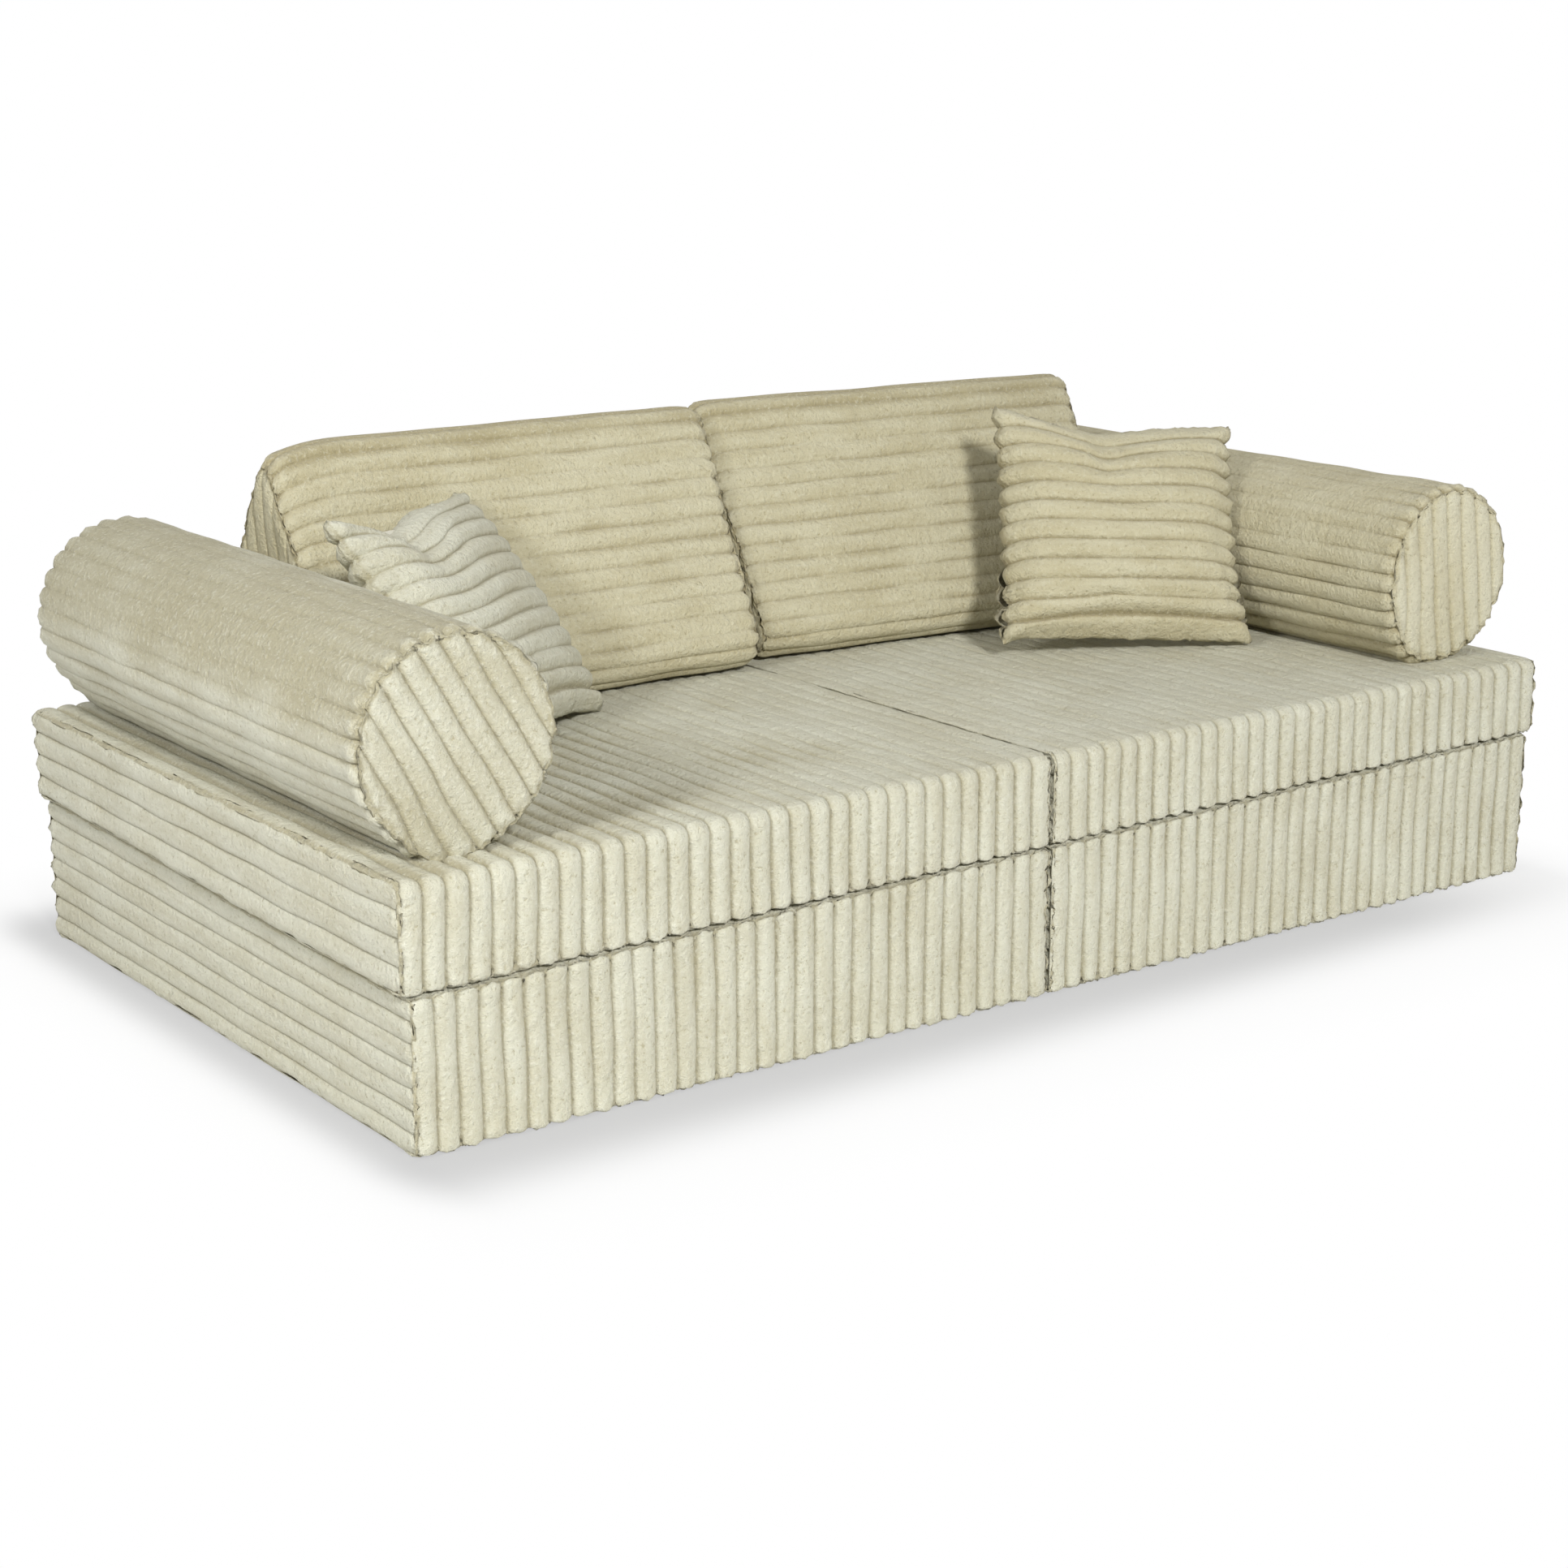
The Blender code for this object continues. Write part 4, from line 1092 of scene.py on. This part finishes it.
def plush_material(name, pile, shade, painted_shade, painted_highlight):
    """Wide-wale plush: brushed pile in patches and streaks, with painted shade in its grooves and pits, and painted
    highlights on puffed pile and in light specks.
    """
    material, tree, shader, place = new_material(name, 0.95)
    tree.fill(shader, {
        "Sheen Weight": 0.18, "Sheen Roughness": 0.55, "Sheen Tint": (1.0, 0.97, 0.88, 1),
        "Specular IOR Level": 0.15,
    })
    cloth = tree.add("Attribute", attribute_name="cloth").outputs["Vector"]
    grain = tree.add("Mapping", {"Vector": cloth, "Scale": (9, 60, 0)}).outputs["Vector"]
    # Z of the cloth attribute is the painted shade; below zero it is painted light
    depth = tree.add("SeparateXYZ", {"Vector": cloth}).outputs["Z"]
    crumbs = tree.noise(place, 210, 4, 0.72)

    blotches = tree.math("ADD", tree.noise(place, 9, 4, 0.6), tree.noise(grain, 1.0, 3, 0.6))
    colour = tree.mix(tree.ramp(blotches, 0.75, 1.25), shade, pile)
    # Painted shade in the grooves, by seams and in dark pits; painted highlight where the pile puffs out and in light
    # specks
    for value, low, high, share, painted_colour in (
        (depth, 0.30, 1.0, 0.75, painted_shade), (depth, -0.35, -1.0, 0.9, painted_highlight),
        (crumbs, 0.42, 0.32, 0.7, painted_shade), (crumbs, 0.52, 0.66, 0.5, painted_highlight),
    ):
        colour = tree.mix(tree.ramp(value, low, high, 0.0, share), colour, painted_colour)

    height = tree.math("MULTIPLY_ADD", tree.noise(place, 480, 3, 0.7), 0.35, crumbs)
    height = tree.math("MULTIPLY_ADD", tree.noise(place, 75, 3, 0.6), 1.2, height)
    finish_surface(tree, shader, colour, height, 0.8, 0.0054)
    return material


def foam_material():
    material, tree, shader, place = new_material("open_cell_foam", 0.9)
    cells = tree.add("TexVoronoi", {"Vector": place, "Scale": 700}).outputs["Distance"]
    colour = tree.mix(tree.ramp(cells, 0.1, 0.6), (0.70, 0.66, 0.50, 1), (0.84, 0.81, 0.68, 1))
    finish_surface(tree, shader, colour, cells, 0.6, 0.0008)
    return material


def tape_material():
    material, tree, shader, place = new_material("zip_tape_weave", 0.85)
    inputs = {"Vector": place, "Scale": 420, "Distortion": 1.5}
    weave = tree.add("TexWave", inputs, wave_type="BANDS", bands_direction="DIAGONAL").outputs["Fac"]
    colour = tree.mix(weave, (0.50, 0.45, 0.32, 1), (0.70, 0.65, 0.50, 1))
    finish_surface(tree, shader, colour, weave, 0.5, 0.0004)
    return material


def metal_material():
    material, tree, shader, place = new_material("zip_metal_brushed", 0.35, 1.0)
    worn = tree.noise(place, 900, 3, 0.6)
    colour = tree.mix(worn, (0.60, 0.59, 0.57, 1), (0.74, 0.73, 0.71, 1))
    tree.fill(shader, {"Base Color": colour, "Roughness": tree.ramp(worn, 0.3, 0.7, 0.28, 0.48)})
    return material


def give(piece, material):
    piece.data.materials.clear()
    piece.data.materials.append(material)


# The modules
# The colours of each plush: its pile, its brushed patches, its painted shade and its painted highlight
cream = plush_material(
    "plush_cream", (0.71, 0.70, 0.565, 1), (0.63, 0.605, 0.46, 1), (0.43, 0.385, 0.235, 1), (0.78, 0.77, 0.65, 1)
)
# A yellower, darker copy of the cream plush: painted shade for how the light falls on the backrests and on the bolster
# and pillow at the right
honey_shaded_plush = plush_material(
    "plush_honey_painted_shade", (0.66, 0.615, 0.43, 1), (0.575, 0.52, 0.335, 1), (0.385, 0.325, 0.175, 1), (0.73, 0.70, 0.53, 1)
)
foam = foam_material()
tape = tape_material()
metal = metal_material()

for order, side in enumerate(("left", "right")):
    # The left bolster and pillow take the cream plush, the right ones its painted-shade copy
    side_plush = cream if side == "left" else honey_shaded_plush
    covers = {
        "base_" + side: (slab_cover("base_" + side, slab_edge, (0, 1, 2, 3), 11 + order), cream),
        "seat_" + side: (slab_cover("seat_" + side, seat_edge, (0, 3), 31 + order), cream),
        "backrest_" + side: (backrest_cover("backrest_" + side, 51 + order), honey_shaded_plush),
        "bolster_" + side: (bolster_cover("bolster_" + side, 71 + order), side_plush),
        "pillow_" + side: (pillow_cover("pillow_" + side, 91 + order), side_plush),
    }
    for name, (cover, material) in covers.items():
        give(cover, material)
        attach(cover, name)
        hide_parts(name + "_cover")

        filling_node = name + ("_fill" if name.startswith("pillow") else "_foam")
        filling = add_filling(filling_node)
        give(filling, foam)
        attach(filling, name)
        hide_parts(filling_node)

        for label, finish in (("_zip_tape", tape), ("_zip_slider", metal), ("_zip_pull", metal)):
            give(frame["nodes"][name + label], finish)


# Floor, light and camera
def add_stage():
    """The white floor; the camera sees the sofa's soft shadow on it, painted so that it has no noise."""
    mesh = bpy.data.meshes.new("floor")
    with editing(mesh) as bm:
        bmesh.ops.create_grid(bm, x_segments=8, y_segments=8, size=floor_size)
    floor = add_object("floor", mesh)

    material, tree, shader, place = new_material("pale_floor", 0.9)
    shader.inputs["Base Color"].default_value = (0.86, 0.86, 0.86, 1)
    parts = tree.add("SeparateXYZ", {"Vector": place}).outputs
    squares = []
    for axis, fade in (("X", floor_fade_aside), ("Y", floor_fade)):
        past = tree.math("SUBTRACT", tree.math("ABSOLUTE", parts[axis]), floor_half[axis])
        share = tree.math("DIVIDE", tree.math("MAXIMUM", past, 0), fade)
        squares.append(tree.math("MULTIPLY", share, share))
    square = tree.math("ADD", *squares)
    reach = tree.math("SQRT", square)
    cube = tree.math("MULTIPLY", square, reach)
    faded = tree.math("EXPONENT", tree.math("MULTIPLY", cube, -1))
    faded = tree.math("MULTIPLY", faded, tree.ramp(parts["X"], 0.50, 0.82, 1.0, floor_right_share))
    faded = tree.math("MULTIPLY", faded, tree.ramp(parts["X"], -0.95, -0.70, floor_dark_left, floor_dark))
    glow = tree.add("Emission", {"Strength": tree.math("SUBTRACT", 1.0, faded)})
    seen = tree.add("LightPath").outputs["Is Camera Ray"]
    share = tree.math("MULTIPLY", seen, tree.ramp(reach, 0.6, 3.0, 0.85, 1.0))
    tree.blend(share, shader.outputs["BSDF"], glow.outputs["Emission"], "Material Output")
    mesh.materials.append(material)


def add_world():
    """Soft light from all round; the camera sees plain white."""
    world = bpy.data.worlds.new("studio")
    bpy.context.scene.world = world
    tree = Tree(world)
    soft = tree.nodes["Background"]
    tree.fill(soft, {"Color": (1.0, 1.0, 1.0, 1), "Strength": 0.30})
    white = tree.add("Background", {"Color": (1.0, 1.0, 1.0, 1), "Strength": 1.0})
    seen = tree.add("LightPath").outputs
    clear = tree.math("MAXIMUM", seen["Is Camera Ray"], seen["Is Glossy Ray"])
    tree.blend(clear, soft.outputs["Background"], white.outputs["Background"], "World Output")


def aim(item, target, azimuth, elevation, distance):
    """Puts a lamp or the camera where it looks at its target; azimuth 0 is in front of the sofa."""
    azimuth = math.radians(azimuth)
    elevation = math.radians(elevation)
    back = Vector((
        math.sin(azimuth) * math.cos(elevation), -math.cos(azimuth) * math.cos(elevation), math.sin(elevation)
    ))
    item.location = back * distance + target
    item.rotation_euler = back.to_track_quat("Z", "Y").to_euler()


def add_lights():
    """Square lamps that look at the middle of the sofa."""
    for name, (azimuth, elevation, distance, size, power) in lamps.items():
        data = bpy.data.lights.new(name, "AREA")
        data.size = size
        data.energy = power
        aim(add_object(name, data), lamp_target, azimuth, elevation, distance)


def add_camera():
    data = bpy.data.cameras.new("camera")
    data.lens = view_lens
    data.sensor_width = view_sensor
    camera = add_object("camera", data)
    aim(camera, view_target, view_azimuth, view_elevation, view_distance)
    bpy.context.scene.camera = camera


add_stage()
add_world()
add_lights()
add_camera()
bpy.context.scene.view_settings.view_transform = "Standard"
